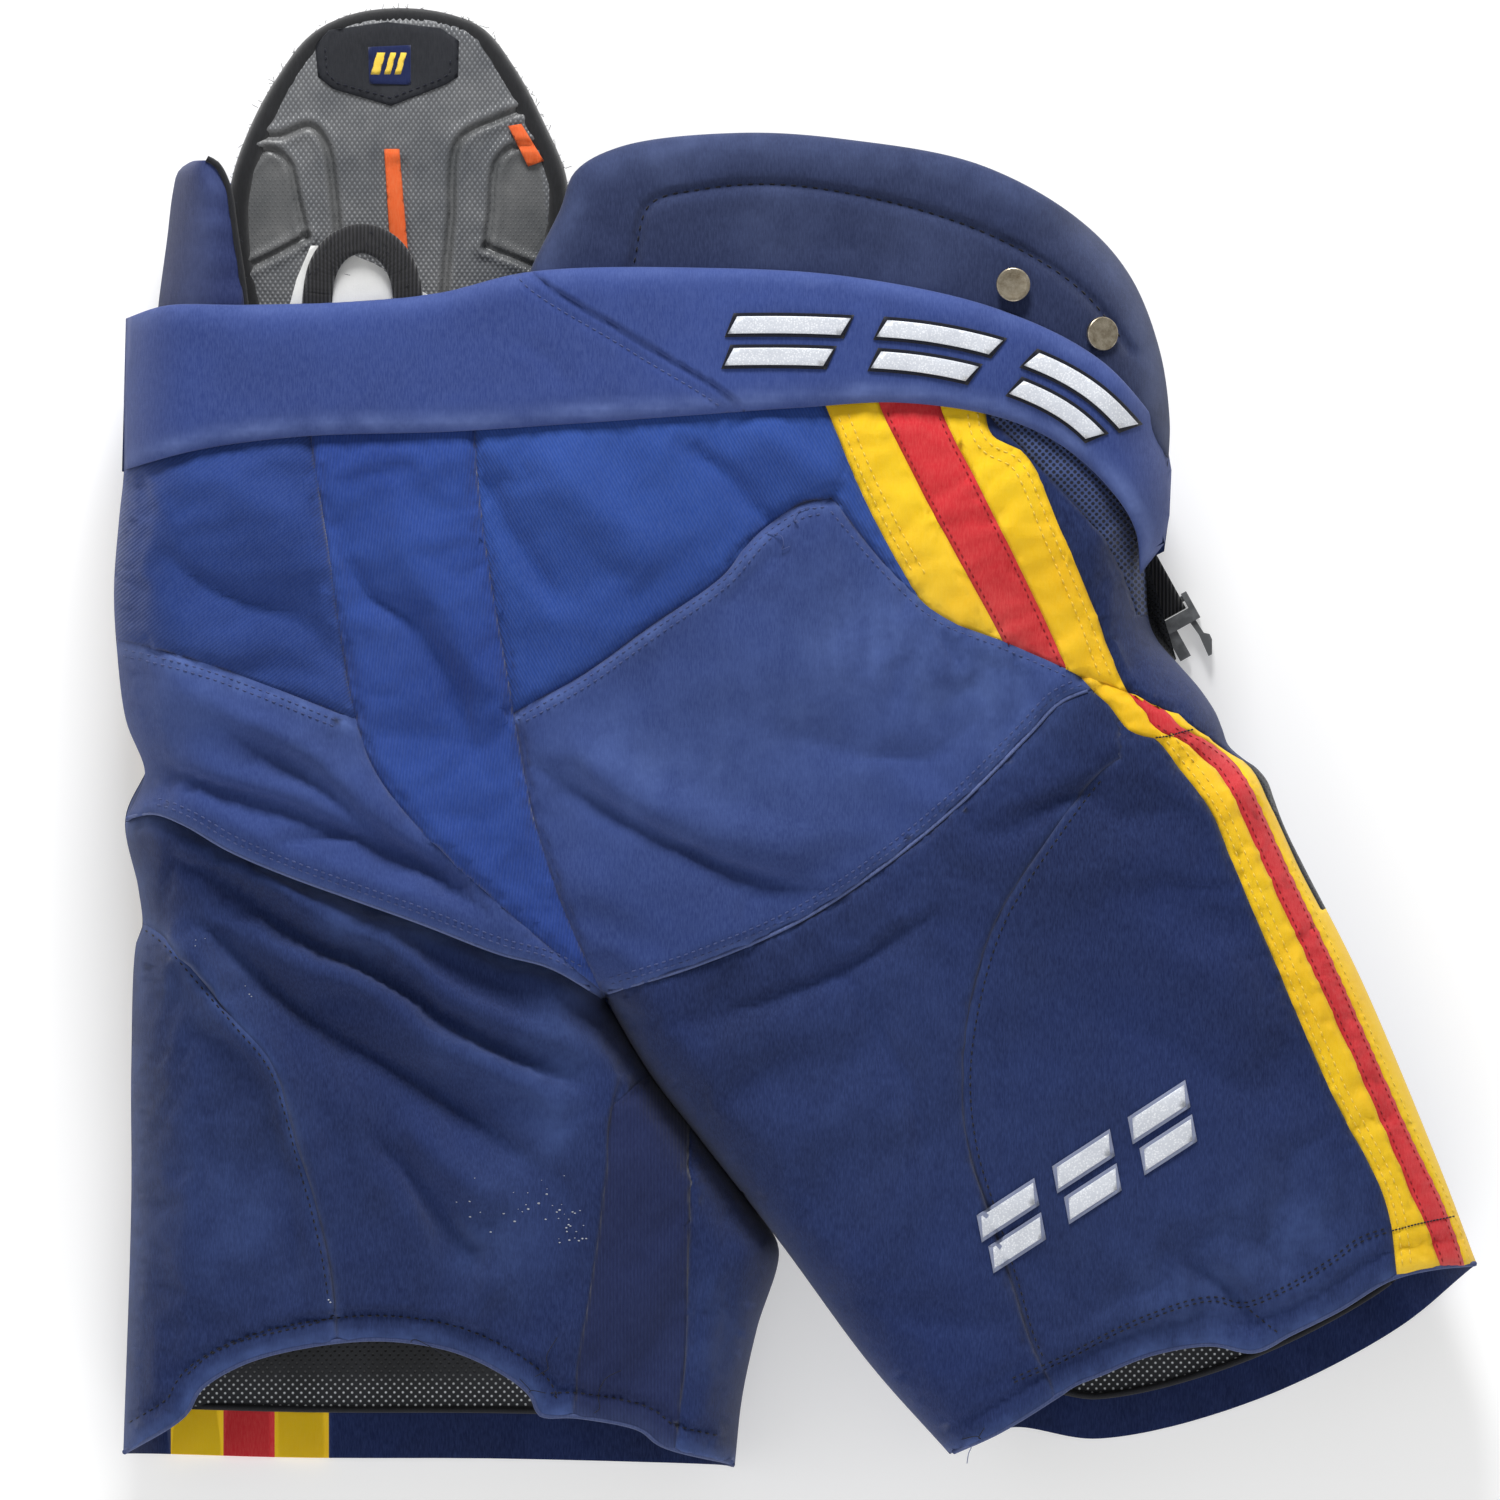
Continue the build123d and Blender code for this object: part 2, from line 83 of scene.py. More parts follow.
# ---- curves and distances ------------------------------------------------------------------------
def smooth(points, step=3.0):
    """A Catmull-Rom curve through points, sampled about every step."""
    p = [np.array(q, float) for q in points]
    if len(p) == 2:
        count = max(1, int(np.linalg.norm(p[1] - p[0]) / step))
        return np.array([p[0] + (p[1] - p[0]) * i / count for i in range(count + 1)])
    p = [2 * p[0] - p[1]] + p + [2 * p[-1] - p[-2]]
    out = []
    for a, b, c, d in zip(p, p[1:], p[2:], p[3:]):
        ta = 0.0
        tb = ta + math.sqrt(np.linalg.norm(b - a)) + 1e-6
        tc = tb + math.sqrt(np.linalg.norm(c - b)) + 1e-6
        td = tc + math.sqrt(np.linalg.norm(d - c)) + 1e-6
        count = max(1, int(np.linalg.norm(c - b) / step))
        for i in range(count):
            t = tb + (tc - tb) * i / count
            a1 = (tb - t) / (tb - ta) * a + (t - ta) / (tb - ta) * b
            a2 = (tc - t) / (tc - tb) * b + (t - tb) / (tc - tb) * c
            a3 = (td - t) / (td - tc) * c + (t - tc) / (td - tc) * d
            b1 = (tc - t) / (tc - ta) * a1 + (t - ta) / (tc - ta) * a2
            b2 = (td - t) / (td - tb) * a2 + (t - tb) / (td - tb) * a3
            out.append((tc - t) / (tc - tb) * b1 + (t - tb) / (tc - tb) * b2)
    out.append(p[-2])
    return np.array(out)


def ring(*curves):
    """A closed outline from curves laid end to end."""
    return np.concatenate([np.asarray(c, float) for c in curves])


def lengths(line):
    """The distance along a line at each of its points."""
    return np.concatenate([[0], np.cumsum(np.linalg.norm(np.diff(line, axis=0), axis=1))])


def unit(vectors):
    """Vectors brought to length one, row by row."""
    return vectors / (np.linalg.norm(vectors, axis=1)[:, None] + 1e-9)


def resample(line, count):
    """A line as a given number of evenly spaced points."""
    along = lengths(line)
    spots = np.linspace(0, along[-1], count)
    return np.stack([np.interp(spots, along, line[:, k]) for k in (0, 1)], 1)


def closed(line):
    """A ring with its first point repeated at its end."""
    return np.concatenate([line, line[:1]])


def to_line(points, line):
    """Distance of each point to a line, and how far along the line the nearest place is."""
    a, b = line[:-1], line[1:]
    ab = b - a
    length = np.linalg.norm(ab, axis=1)
    start = np.concatenate([[0], np.cumsum(length)])[:-1]
    best = np.full(len(points), 1e9)
    along = np.zeros(len(points))
    for i in range(len(a)):
        if length[i] < 1e-9:
            continue
        t = np.clip(((points - a[i]) @ ab[i]) / length[i] ** 2, 0, 1)
        d = np.linalg.norm(points - (a[i] + t[:, None] * ab[i]), axis=1)
        near = d < best
        best = np.where(near, d, best)
        along = np.where(near, start[i] + t * length[i], along)
    return best, along


def away(points, line):
    """Distance of each point to a line."""
    return to_line(points, line)[0]


def inside(points, outline):
    """Whether each point lies inside an outline, by counting crossings."""
    x, y = points[:, 0], points[:, 1]
    hit = np.zeros(len(points), bool)
    n = len(outline)
    for i in range(n):
        x1, y1 = outline[i]
        x2, y2 = outline[(i + 1) % n]
        if y1 == y2:
            continue
        crosses = (y1 > y) != (y2 > y)
        hit ^= crosses & (x < (x2 - x1) * (y - y1) / (y2 - y1) + x1)
    return hit


def turns_left(outline):
    """Whether an outline runs anticlockwise."""
    following = np.roll(outline, -1, 0)
    return np.sum(outline[:, 0] * following[:, 1] - following[:, 0] * outline[:, 1]) > 0


def dome(d, radius):
    """Height, from 0 to 1, of a rounded edge at a distance d in from it."""
    t = np.clip(1 - d / radius, 0, 1)
    return np.sqrt(np.clip(1 - t * t, 0, 1))


def bell(d, width):
    """1 at no distance, falling smoothly to nothing over a few widths."""
    return np.exp(-(d / width) ** 2)


def fade(x, a, b):
    """A smooth step from 0 at a to 1 at b."""
    t = np.clip((x - a) / (b - a), 0, 1)
    return t * t * (3 - 2 * t)


def rough(points, size, seed=0.0, detail=2):
    """Smooth noise of a given grain size in millimetres, about -1 to 1."""
    out = np.empty(len(points))
    for i, p in enumerate(points):
        out[i] = noise.fractal(Vector((p[0] / size + seed, p[1] / size - seed, seed)), 1.0, 2.0, detail)
    return out


# ---- seams and edges, in millimetres -------------------------------------------------------------
BAND_TOP = smooth([
    (-336, 210.5), (-316, 216.5), (-273.5, 217), (-223.5, 218.5), (-178.5, 223), (-133.5, 233.5),
    (-48.5, 235.5), (26.5, 231), (101.5, 214.5), (151.5, 189.5), (184, 154.5)
])
BAND_LOW = smooth([
    (-337, 134.5), (-298.5, 144.5), (-248.5, 151), (-173.5, 153.5), (-118.5, 157), (-48.5, 162),
    (1.5, 165.5), (51.5, 168), (101.5, 160.5), (131.5, 147), (156.5, 124.5), (169, 104.5), (171.5, 82)
])
GUSSET_LEFT = smooth([
    (-243, 235), (-242.5, 147), (-236, 109.5), (-231, 69.5), (-222.5, 19.5), (-211, -15.5), (-183.5, -50.5),
    (-148.5, -83), (-98.5, -125.5), (-80, -141)
])
GUSSET_RIGHT = smooth([
    (-163, 245), (-161, 152), (-156, 99.5), (-142.5, 19.5), (-133.5, -30.5), (-118.5, -80.5), (-96, -130.5),
    (-90, -145)
])
SEAT_RIGHT_TOP = smooth([
    (-141, 13.5), (-108.5, 32), (-73.5, 57), (-38.5, 82), (-18.5, 104.5), (1.5, 117), (16.5, 119.5)
])
SEAT_STRIPE = smooth([(16.5, 119.5), (46.5, 84.5), (71.5, 62), (101.5, 49.5), (131.5, 36.5), (141.9, 30.8)])
SIDE_HEM = smooth([
    (141.9, 30.8), (146.7, 30.4), (153.8, 27.6), (165, 23.4), (173, 19.6), (183.3, 14.8), (190.5, 12.5),
    (197.7, 6.1), (203.3, 2.9), (211.2, -3.5), (220, -9.1), (232, -15)
])
YELLOW_RIGHT = smooth([
    (213, -2), (219.2, -7.5), (227.2, -14.6), (231.2, -21), (235.1, -29.8), (239.1, -37.8), (243.1, -46.5),
    (251.5, -65), (262, -85)
])
SEAT_LOW = smooth([
    (-96, -128), (-48.5, -113), (1.5, -91.5), (41.5, -65.5), (81.5, -33), (116.5, 2), (131.5, 17.5),
    (143.5, 23), (148, 24.2)
])
LEG_BACK = smooth([
    (161, -10), (152, -17), (126.5, -50.5), (101.5, -90.5), (89, -130.5), (84, -170.5), (87.5, -205.5),
    (96.5, -235.5), (109, -275.5), (116.5, -300.5), (128, -325)
])
HIP_LEFT = smooth([(-350, 51), (-339.5, 49.5), (-298.5, 39.5), (-263.5, 27), (-222.5, 10.5)])
FOLD = smooth([
    (-350, -46), (-336.5, -41), (-322, -38), (-306.5, -43.5), (-285, -56), (-256, -68.5), (-223, -80.5),
    (-188, -93), (-149, -108), (-123.5, -115), (-96, -131)
])
LEFT_OUTER = smooth([
    (-350, -84), (-328, -92), (-317, -99), (-298, -120), (-279, -142), (-262, -163), (-253.5, -187),
    (-247.5, -210), (-240.5, -235), (-235, -259), (-231.5, -284), (-229, -320)
])
KNIT_LEFT = smooth([
    (-72, -100), (-85, -160), (-92.5, -185), (-96, -218), (-102, -266), (-107.5, -300), (-112, -340),
    (-113, -370)
])
KNIT_HEAD = smooth([(-99, -182), (-92.5, -183.5), (-84, -176), (-76, -170), (-60, -166), (-50, -160)])
KNIT_END = smooth([(-50, -100), (-53.5, -185.5), (-54.5, -255.5), (-57, -320.5), (-63, -370)])
STRIPE_TOP_LEFT = smooth([(8, 182), (15.5, 163.5), (31.5, 124.5), (54, 82), (80, 40)])
STRIPE_TOP_RIGHT = smooth([
    (94, 182), (94, 165.5), (97.5, 152), (114, 142), (131.5, 104.5), (150.6, 59.5), (155.4, 45.9),
    (160.2, 34), (165, 23.4)
])
RED_TOP_LEFT = smooth([(38, 178), (42, 165), (60, 128), (84, 84), (104, 46), (108, 36)])
RED_TOP_RIGHT = smooth([(70, 178), (72, 165), (91, 126), (112, 84), (132, 41), (138, 28)])
STRIPE_LOW_LEFT = smooth([
    (141.9, 30.8), (148.2, 23.6), (155.4, 17.2), (165.8, 4.5), (173, 1.3), (178.5, 0.1), (191.3, -14.7),
    (199.3, -25), (207.3, -37), (212.8, -49), (219.2, -65.5), (236.5, -105.5), (266.5, -175.5),
    (294, -230.5), (300, -268), (302, -290)
])
RED_LOW_LEFT = smooth([
    (165, 23.4), (169.8, 17.2), (174.6, 12.5), (176.2, 8.5), (182.5, 2.9), (192.1, -1.1), (201.7, -8.3),
    (211.2, -17.1), (216, -25), (222.4, -37), (233.6, -63.3), (262, -124.5), (284.5, -173.5), (306.5, -225),
    (322, -264), (328, -290)
])
RED_LOW_RIGHT = smooth([
    (165, 23.4), (173, 19.3), (183.3, 14.2), (191.3, 6.1), (197.7, 3.2), (208.1, -2.9), (219.2, -12.3),
    (228, -25.8), (233.6, -37.8), (245.5, -64.1), (268, -111), (290, -160.5), (308, -200.5), (324, -234),
    (334, -263), (338, -290)
])
VENT_LOW = smooth([(92, 170), (96.5, 161), (110.5, 147), (122, 134), (139, 116), (153.5, 99), (164, 80),
                   (170, 62)])
LEFT_EDGE = smooth([
    (-336, 210.5), (-337, 134.5), (-339.5, 109.5), (-342, 74.5), (-340.5, 44.5), (-336, 9.5), (-326.5, -17),
    (-331, -30), (-336.5, -41)
])
LEFT_LEG_EDGE = smooth([
    (-326, -16), (-336.5, -40), (-330, -74.5), (-328, -94), (-331, -102), (-333.5, -164), (-333.5, -230.5),
    (-337.5, -358)
])
RIGHT_EDGE = smooth([
    (184, 154.5), (180, 120), (175.5, 79.5), (176.5, 59.5), (180.5, 50), (191.3, 37.2), (201.7, 25.2),
    (209.6, 13.3), (213.2, 4.5), (216, -3), (223.4, -9.8), (230, -14.4), (235.5, -21), (238.8, -29.8),
    (242, -38.6), (246, -48), (255, -66), (281.5, -118), (321.5, -213), (340.5, -263)
], 2)
RIGHT_INNER = smooth([(76.5, -358), (36.5, -313), (-8.5, -252), (-48.5, -200.5), (-73.5, -168),
                      (-96, -130.5)])
RIGHT_NEAR = smooth([
    (340.5, -263), (318, -265), (296.5, -270.5), (271.5, -285.5), (246.5, -298), (229, -306.5),
    (206.5, -303), (176.5, -308), (151.5, -318), (139, -323), (131.5, -328), (101.5, -346.5), (76.5, -358)
])
RIGHT_FAR = smooth([(340.5, -263), (301.5, -295.5), (226.5, -333), (151.5, -351), (106.5, -345.5),
                    (76.5, -358)])
LEFT_NEAR = smooth([
    (-337.5, -358), (-306, -338), (-298.5, -325.5), (-278.5, -313), (-248.5, -304.5), (-208.5, -300.5),
    (-173.5, -305.5), (-148.5, -316.5), (-133.5, -328), (-128.5, -338), (-111, -339), (-78.5, -345.5),
    (-68.5, -353), (-31, -363)
])
LEFT_FAR = smooth([(-337.5, -358), (-250, -360.5), (-150, -361), (-31, -364)])
LEFT_INNER = smooth([
    (-31, -363), (-27.5, -330.5), (-20, -295.5), (-9, -256), (-17, -240), (-44, -200), (-70, -166),
    (-92, -132)
])
FRONT_TOP = smooth([(-336, 210), (-270, 196), (-100, 176), (60, 165), (150, 158), (184, 154.5)])
FRONT_LOW = smooth([(-338, 134), (-270, 120), (-100, 100), (60, 90), (150, 88), (176, 90)])
BAND_LOW_UPPER = smooth([
    (-337, 134.5), (-248.5, 151), (-118.5, 157), (1.5, 165.5), (51.5, 168), (101.5, 160.5), (131.5, 147),
    (156.5, 124.5)
])
FOLD_START = int(np.argmin(np.linalg.norm(FOLD - np.array([-336.5, -41.0]), axis=1))) + 1
BAND_JOIN = smooth([(-137, 245), (-133.5, 234.5), (-80, 200), (-28, 166), (-20, 150)])
SPINE_EDGE = smooth([
    (-254, 141), (-266, 170), (-276, 210), (-283, 250), (-282, 278), (-271, 309), (-258, 332), (-243, 351),
    (-224, 361), (-198.5, 364.5), (-174, 361.5), (-157, 354), (-142, 335), (-128, 309), (-116, 279),
    (-117, 250), (-124, 210), (-134, 170), (-146, 141)
])
KIDNEY_RIGHT = smooth([
    (-136, 222), (-133.5, 233.5), (-118.5, 264.5), (-111, 283.5), (-88.5, 296), (-28.5, 303), (26.5, 299.5),
    (91.5, 287), (141.5, 259.5), (166.5, 232), (181.5, 194.5), (186.5, 159.5), (186, 140)
])
KIDNEY_RIGHT_LOW = smooth([(186, 140), (150, 176), (101, 202), (27, 219), (-48, 223), (-136, 222)])
KIDNEY_STITCH = smooth([
    (-84, 226), (-81, 239.5), (-73.5, 267), (-48.5, 274.5), (-8.5, 277), (51.5, 267), (101.5, 249.5),
    (141.5, 224.5), (166.5, 194.5)
])

ROOT_RIGHT = np.array([(-98.0, -133.0), (205.0, 15.0)])
ROOT_RIGHT_N = np.array([0.439, -0.899])
ROOT_LEFT = np.array([(-334.0, -38.0), (-101.0, -134.0)])
ROOT_LEFT_N = np.array([-0.381, -0.925])


# ---- surfaces ------------------------------------------------------------------------------------
def rounded(z, p, edges):
    """A surface that turns over at its side edges: (line, radius, height at the edge)."""
    for line, radius, middle in edges:
        z = middle + (z - middle) * dome(away(p, line), radius)
    return z


def main_top(p):
    """Height of the waist's and right leg's upper side, before its edges are rounded."""
    s = (p - ROOT_RIGHT[0]) @ ROOT_RIGHT_N
    above = 135.0 - 9.0 * fade(-p[:, 1], -130, 40)
    below = 126.0 - 26.0 * np.clip(s / 320, 0, 1)
    return np.where(s > 0, below, above - (above - 126.0) * fade(s, -120, 0))


def left_top(p):
    """Height of the left leg's upper side, before its edges are rounded."""
    s = np.clip((p - ROOT_LEFT[0]) @ ROOT_LEFT_N, 0, 400)
    return 112.0 - 20.0 * s / 300


def grooves(p, seams):
    """Seams sink: (line, width, depth)."""
    out = np.zeros(len(p))
    for line, width, depth in seams:
        out -= depth * bell(away(p, line), width)
    return out


def grid_points(outline, step, lines):
    """A triangular grid inside an outline, kept clear of the given lines."""
    low, high = outline.min(0), outline.max(0)
    rows = []
    y, odd = low[1], 0
    while y < high[1]:
        xs = np.arange(low[0] + (step / 2 if odd else 0), high[0], step)
        rows.append(np.stack([xs, np.full(len(xs), y)], 1))
        y += step * 0.866
        odd = 1 - odd
    p = np.concatenate(rows)
    p = p[inside(p, outline)]
    keep = np.ones(len(p), bool)
    for line in lines:
        keep &= away(p, line) > step * 0.4
    return p[keep]


def inset_lines(outline, radius):
    """Rings of points just inside an outline, closer together near it, so that its edge is round."""
    line = closed(outline)
    t = unit(np.roll(outline, -1, 0) - np.roll(outline, 1, 0))
    normal = np.stack([-t[:, 1], t[:, 0]], 1) * (1 if turns_left(outline) else -1)
    out = []
    for share in (0.012, 0.05, 0.11, 0.2):
        p = outline + normal * radius * share
        d = away(p, line)
        out.append(p[(d > radius * share * 0.93) & inside(p, outline)])
    return out


def sheet_faces(outline, lines, edge_radius, step=None, seam_gap=0.0):
    """Triangulate an outline with every seam as an edge."""
    step = step or GRID
    coords, edges = [], []

    def add(line, close=False):
        first = len(coords)
        coords.extend(Vector((float(a), float(b))) for a, b in line)
        edges.extend((first + i, first + i + 1) for i in range(len(line) - 1))
        if close:
            edges.append((first + len(line) - 1, first))

    add(outline, True)
    for line in lines:
        add(line)
    fixed = [closed(outline)] + list(lines)
    beside = [shifted(line, side * seam_gap) for line in lines for side in (-2, -1, 1, 2)] if seam_gap else []
    for extra in inset_lines(outline, edge_radius) + beside:
        d = np.full(len(extra), 1e9)
        for line in fixed[1:]:
            d = np.minimum(d, away(extra, line))
        extra = extra[(d > 0.8) & inside(extra, outline)]
        coords.extend(Vector((float(a), float(b))) for a, b in extra)
    for p in grid_points(outline, step, fixed):
        coords.append(Vector((float(p[0]), float(p[1]))))
    verts, _, faces, _, _, _ = delaunay_2d_cdt(coords, edges, [], 0, 0.01)
    verts = np.array([(v.x, v.y) for v in verts])
    faces = np.array([f for f in faces if len(f) == 3])
    centre = verts[faces].mean(1)
    keep = inside(centre, outline)
    faces, centre = faces[keep], centre[keep]
    a, b, c = verts[faces[:, 0]], verts[faces[:, 1]], verts[faces[:, 2]]
    turn = (b[:, 0] - a[:, 0]) * (c[:, 1] - a[:, 1]) - (b[:, 1] - a[:, 1]) * (c[:, 0] - a[:, 0])
    faces[turn < 0] = faces[turn < 0][:, ::-1]
    return verts, faces


# ---- materials -----------------------------------------------------------------------------------
class Nodes:
    """Short ways to build a material's node tree."""

    def __init__(self, name):
        self.material = bpy.data.materials.new(name)
        self.material.use_nodes = True
        self.tree = self.material.node_tree
        self.shader = self.tree.nodes["Principled BSDF"]
        self.place = self.tree.nodes.new("ShaderNodeTexCoord").outputs["Object"]

    def node(self, kind, **values):
        n = self.tree.nodes.new(kind)
        for key, value in values.items():
            if hasattr(n, key):
                setattr(n, key, value)
        return n

    def link(self, a, b):
        self.tree.links.new(a, b)

    def put(self, socket, value):
        if isinstance(value, bpy.types.NodeSocket):
            self.link(value, socket)
        else:
            socket.default_value = value

    def scaled(self, scale, turn=0.0):
        n = self.node("ShaderNodeMapping")
        n.inputs["Scale"].default_value = scale if hasattr(scale, "__len__") else (scale,) * 3
        n.inputs["Rotation"].default_value[2] = turn
        self.link(self.place, n.inputs["Vector"])
        return n.outputs["Vector"]

    def noise(self, scale, detail=3.0, rough_=0.55, vector=None):
        n = self.node("ShaderNodeTexNoise")
        n.inputs["Scale"].default_value = scale
        n.inputs["Detail"].default_value = detail
        n.inputs["Roughness"].default_value = rough_
        self.link(vector or self.place, n.inputs["Vector"])
        return n.outputs["Fac"]

    def wave(self, scale, direction="X", distortion=0.0, turn=0.0):
        n = self.node("ShaderNodeTexWave", bands_direction=direction)
        n.inputs["Scale"].default_value = scale
        n.inputs["Distortion"].default_value = distortion
        n.inputs["Detail"].default_value = 1.0
        n.inputs["Detail Scale"].default_value = 3.0
        self.link(self.scaled(1.0, turn), n.inputs["Vector"])
        return n.outputs["Fac"]

    def voronoi(self, scale, feature="F1"):
        n = self.node("ShaderNodeTexVoronoi", feature=feature)
        n.inputs["Scale"].default_value = scale
        self.link(self.place, n.inputs["Vector"])
        return n.outputs["Distance"]

    def math(self, operation, a, b=0.0, c=0.0):
        n = self.node("ShaderNodeMath", operation=operation)
        for socket, value in zip(n.inputs, (a, b, c)):
            self.put(socket, value)
        return n.outputs[0]

    def ramp(self, value, low, high, a=0.0, b=1.0):
        n = self.node("ShaderNodeMapRange")
        self.put(n.inputs["Value"], value)
        n.inputs["From Min"].default_value = low
        n.inputs["From Max"].default_value = high
        n.inputs["To Min"].default_value = a
        n.inputs["To Max"].default_value = b
        return n.outputs["Result"]

    def attribute(self, name):
        n = self.node("ShaderNodeAttribute", attribute_name=name)
        return n.outputs["Fac"]

    def mix(self, factor, a, b):
        n = self.node("ShaderNodeMix", data_type="RGBA")
        self.put(n.inputs[0], factor)
        self.put(n.inputs[6], a if isinstance(a, bpy.types.NodeSocket) else (*a, 1.0))
        self.put(n.inputs[7], b if isinstance(b, bpy.types.NodeSocket) else (*b, 1.0))
        return n.outputs[2]

    def bump(self, height, strength, distance, normal=None):
        n = self.node("ShaderNodeBump")
        n.inputs["Strength"].default_value = strength
        n.inputs["Distance"].default_value = distance
        self.link(height, n.inputs["Height"])
        if normal:
            self.link(normal, n.inputs["Normal"])
        return n.outputs["Normal"]

    def finish(self, color, roughness, normal=None, **sockets):
        self.put(self.shader.inputs["Base Color"], color if isinstance(color, bpy.types.NodeSocket)
                 else (*color, 1))
        self.put(self.shader.inputs["Roughness"], roughness)
        if normal:
            self.link(normal, self.shader.inputs["Normal"])
        for key, value in sockets.items():
            self.shader.inputs[key.replace("_", " ")].default_value = value
        return self.material


def lin(r, g, b):
    """Linear colour from 0 to 255 display values."""
    return tuple(((c / 255 + 0.055) / 1.055) ** 2.4 if c > 10 else c / 255 / 12.92 for c in (r, g, b))


def cloth(name, dark, light, worn, weave=900.0, ribs=0.0, turn=0.0, sheen=0.12, roughness=0.85):
    """Woven or knitted cloth: weave or ribs, blotches, paling from the mesh's wear attribute (rubbed wear,
    and on the belt and the right kidney pad also painted highlight), and painted shade in the troughs between
    threads.
    """
    m = Nodes(name)
    blotch = m.ramp(m.noise(9.0, 4.0, 0.6), 0.3, 0.7)
    fine = m.ramp(m.noise(70.0, 3.0, 0.65), 0.25, 0.75)
    color = m.mix(blotch, dark, light)
    streak = m.noise(1.0, 3.0, 0.6, m.scaled((1500.0, 260.0, 600.0), turn))
    color = m.mix(m.ramp(streak, 0.35, 0.75, 0.0, 0.2), color, worn)
    rubbed = m.math("MULTIPLY", m.attribute("wear"), m.ramp(fine, 0.1, 0.9, 0.55, 1.25))
    color = m.mix(m.math("MINIMUM", rubbed, 0.9), color, worn)
    if ribs:
        threads = m.wave(ribs, "X", 0.8, turn)
        # The troughs between the ribs are painted darker: painted shade.
        color = m.mix(m.ramp(threads, 0, 1, 0.2, 0.0), color, (0.0, 0.0, 0.004))
        normal = m.bump(threads, 0.4, 0.0003)
    else:
        warp = m.wave(weave, "X", 1.0, turn)
        weft = m.wave(weave * 0.9, "Y", 1.0, turn)
        threads = m.math("ADD", warp, weft)
        # The troughs between the threads are painted darker: painted shade.
        color = m.mix(m.ramp(threads, 0, 2, 0.22, 0.0), color, (0.0, 0.0, 0.004))
        normal = m.bump(threads, 0.4, 0.0003)
    creases = m.noise(34.0, 5.0, 0.6)
    normal = m.bump(creases, 0.3, 0.0016, normal)
    return m.finish(color, roughness, normal, Sheen_Weight=sheen, Sheen_Roughness=0.5, Specular_IOR_Level=0.2)


NYLON = cloth("navy nylon", lin(12, 26, 66), lin(19, 37, 88), lin(84, 108, 170))
SEAT = cloth("worn seat nylon", lin(35, 52, 106), lin(48, 68, 130), lin(102, 126, 188))
BAND_CLOTH = cloth("band nylon", lin(42, 60, 120), lin(52, 73, 140), lin(114, 134, 196))
KIDNEY_CLOTH = cloth("kidney nylon", lin(27, 37, 69), lin(37, 48, 85), lin(92, 106, 150))
LEFT_PAD = cloth("left pad nylon", lin(25, 36, 80), lin(34, 46, 96), lin(92, 106, 156))
KNIT = cloth("royal knit", lin(26, 52, 122), lin(38, 68, 142), lin(84, 108, 172), ribs=200.0, turn=0.12)
# The left hip's copy of the royal knit is painted darker, and the right hip's lighter, than the gusset's:
# painted shade and painted light.
KNIT_SIDE_SHADED = cloth("royal knit left", lin(24, 48, 108), lin(36, 62, 128), lin(80, 102, 160), ribs=200.0,
                  turn=0.9)
KNIT_RIGHT_LIT = cloth("royal knit right", lin(27, 57, 126), lin(40, 73, 148), lin(86, 110, 172), ribs=200.0,
                   turn=-0.5)
KNIT_DARK = cloth("dark knit", lin(18, 27, 64), lin(26, 37, 80), lin(66, 80, 124), ribs=185.0)
YELLOW = cloth("yellow stripe", lin(248, 190, 2), lin(255, 212, 6), lin(252, 220, 96), sheen=0.05,
               roughness=0.55)
RED = cloth("red stripe", lin(198, 26, 38), lin(220, 40, 50), lin(240, 130, 120), sheen=0.05, roughness=0.55)
BLACK_CLOTH = cloth("black cloth", lin(24, 25, 28), lin(35, 36, 40), lin(70, 72, 78))
CAP_VINYL = cloth("cap vinyl", lin(27, 29, 34), lin(39, 41, 47), lin(74, 76, 82), sheen=0.0, roughness=0.5)
FUZZY = cloth("fuzzy binding", lin(10, 11, 13), lin(22, 23, 26), lin(60, 62, 66), sheen=0.4)
ORANGE = cloth("orange tape", lin(226, 84, 30), lin(242, 106, 46), lin(246, 170, 120), sheen=0.05,
               roughness=0.6)
LABEL = cloth("white satin", lin(226, 226, 224), lin(246, 246, 244), lin(250, 250, 250), roughness=0.5)
BADGE = cloth("badge", lin(18, 28, 70), lin(24, 36, 82), lin(60, 72, 120))
YELLOW_THREAD = cloth("yellow thread", lin(250, 206, 60), lin(254, 222, 90), lin(250, 230, 150), sheen=0.05)
RED_THREAD = cloth("red thread", lin(130, 16, 26), lin(156, 24, 34), lin(220, 90, 90), sheen=0.05)
NAVY_THREAD = cloth("navy thread", lin(60, 74, 126), lin(78, 92, 146), lin(110, 122, 160))
DARK_THREAD = cloth("dark thread", lin(10, 13, 26), lin(18, 22, 38), lin(60, 62, 80))
DARK_EDGE = cloth("dark border", lin(12, 15, 26), lin(18, 22, 36), lin(60, 62, 80))
PALE_EDGE = cloth("pale border", lin(120, 128, 158), lin(150, 158, 184), lin(170, 176, 196))
PIPING = cloth("piping", lin(70, 86, 138), lin(104, 118, 168), lin(160, 170, 204))
WORN_EDGE = cloth("worn hem", lin(48, 60, 104), lin(76, 90, 134), lin(130, 140, 180))
LINT = cloth("lint", lin(170, 176, 190), lin(206, 210, 218), lin(220, 222, 226))


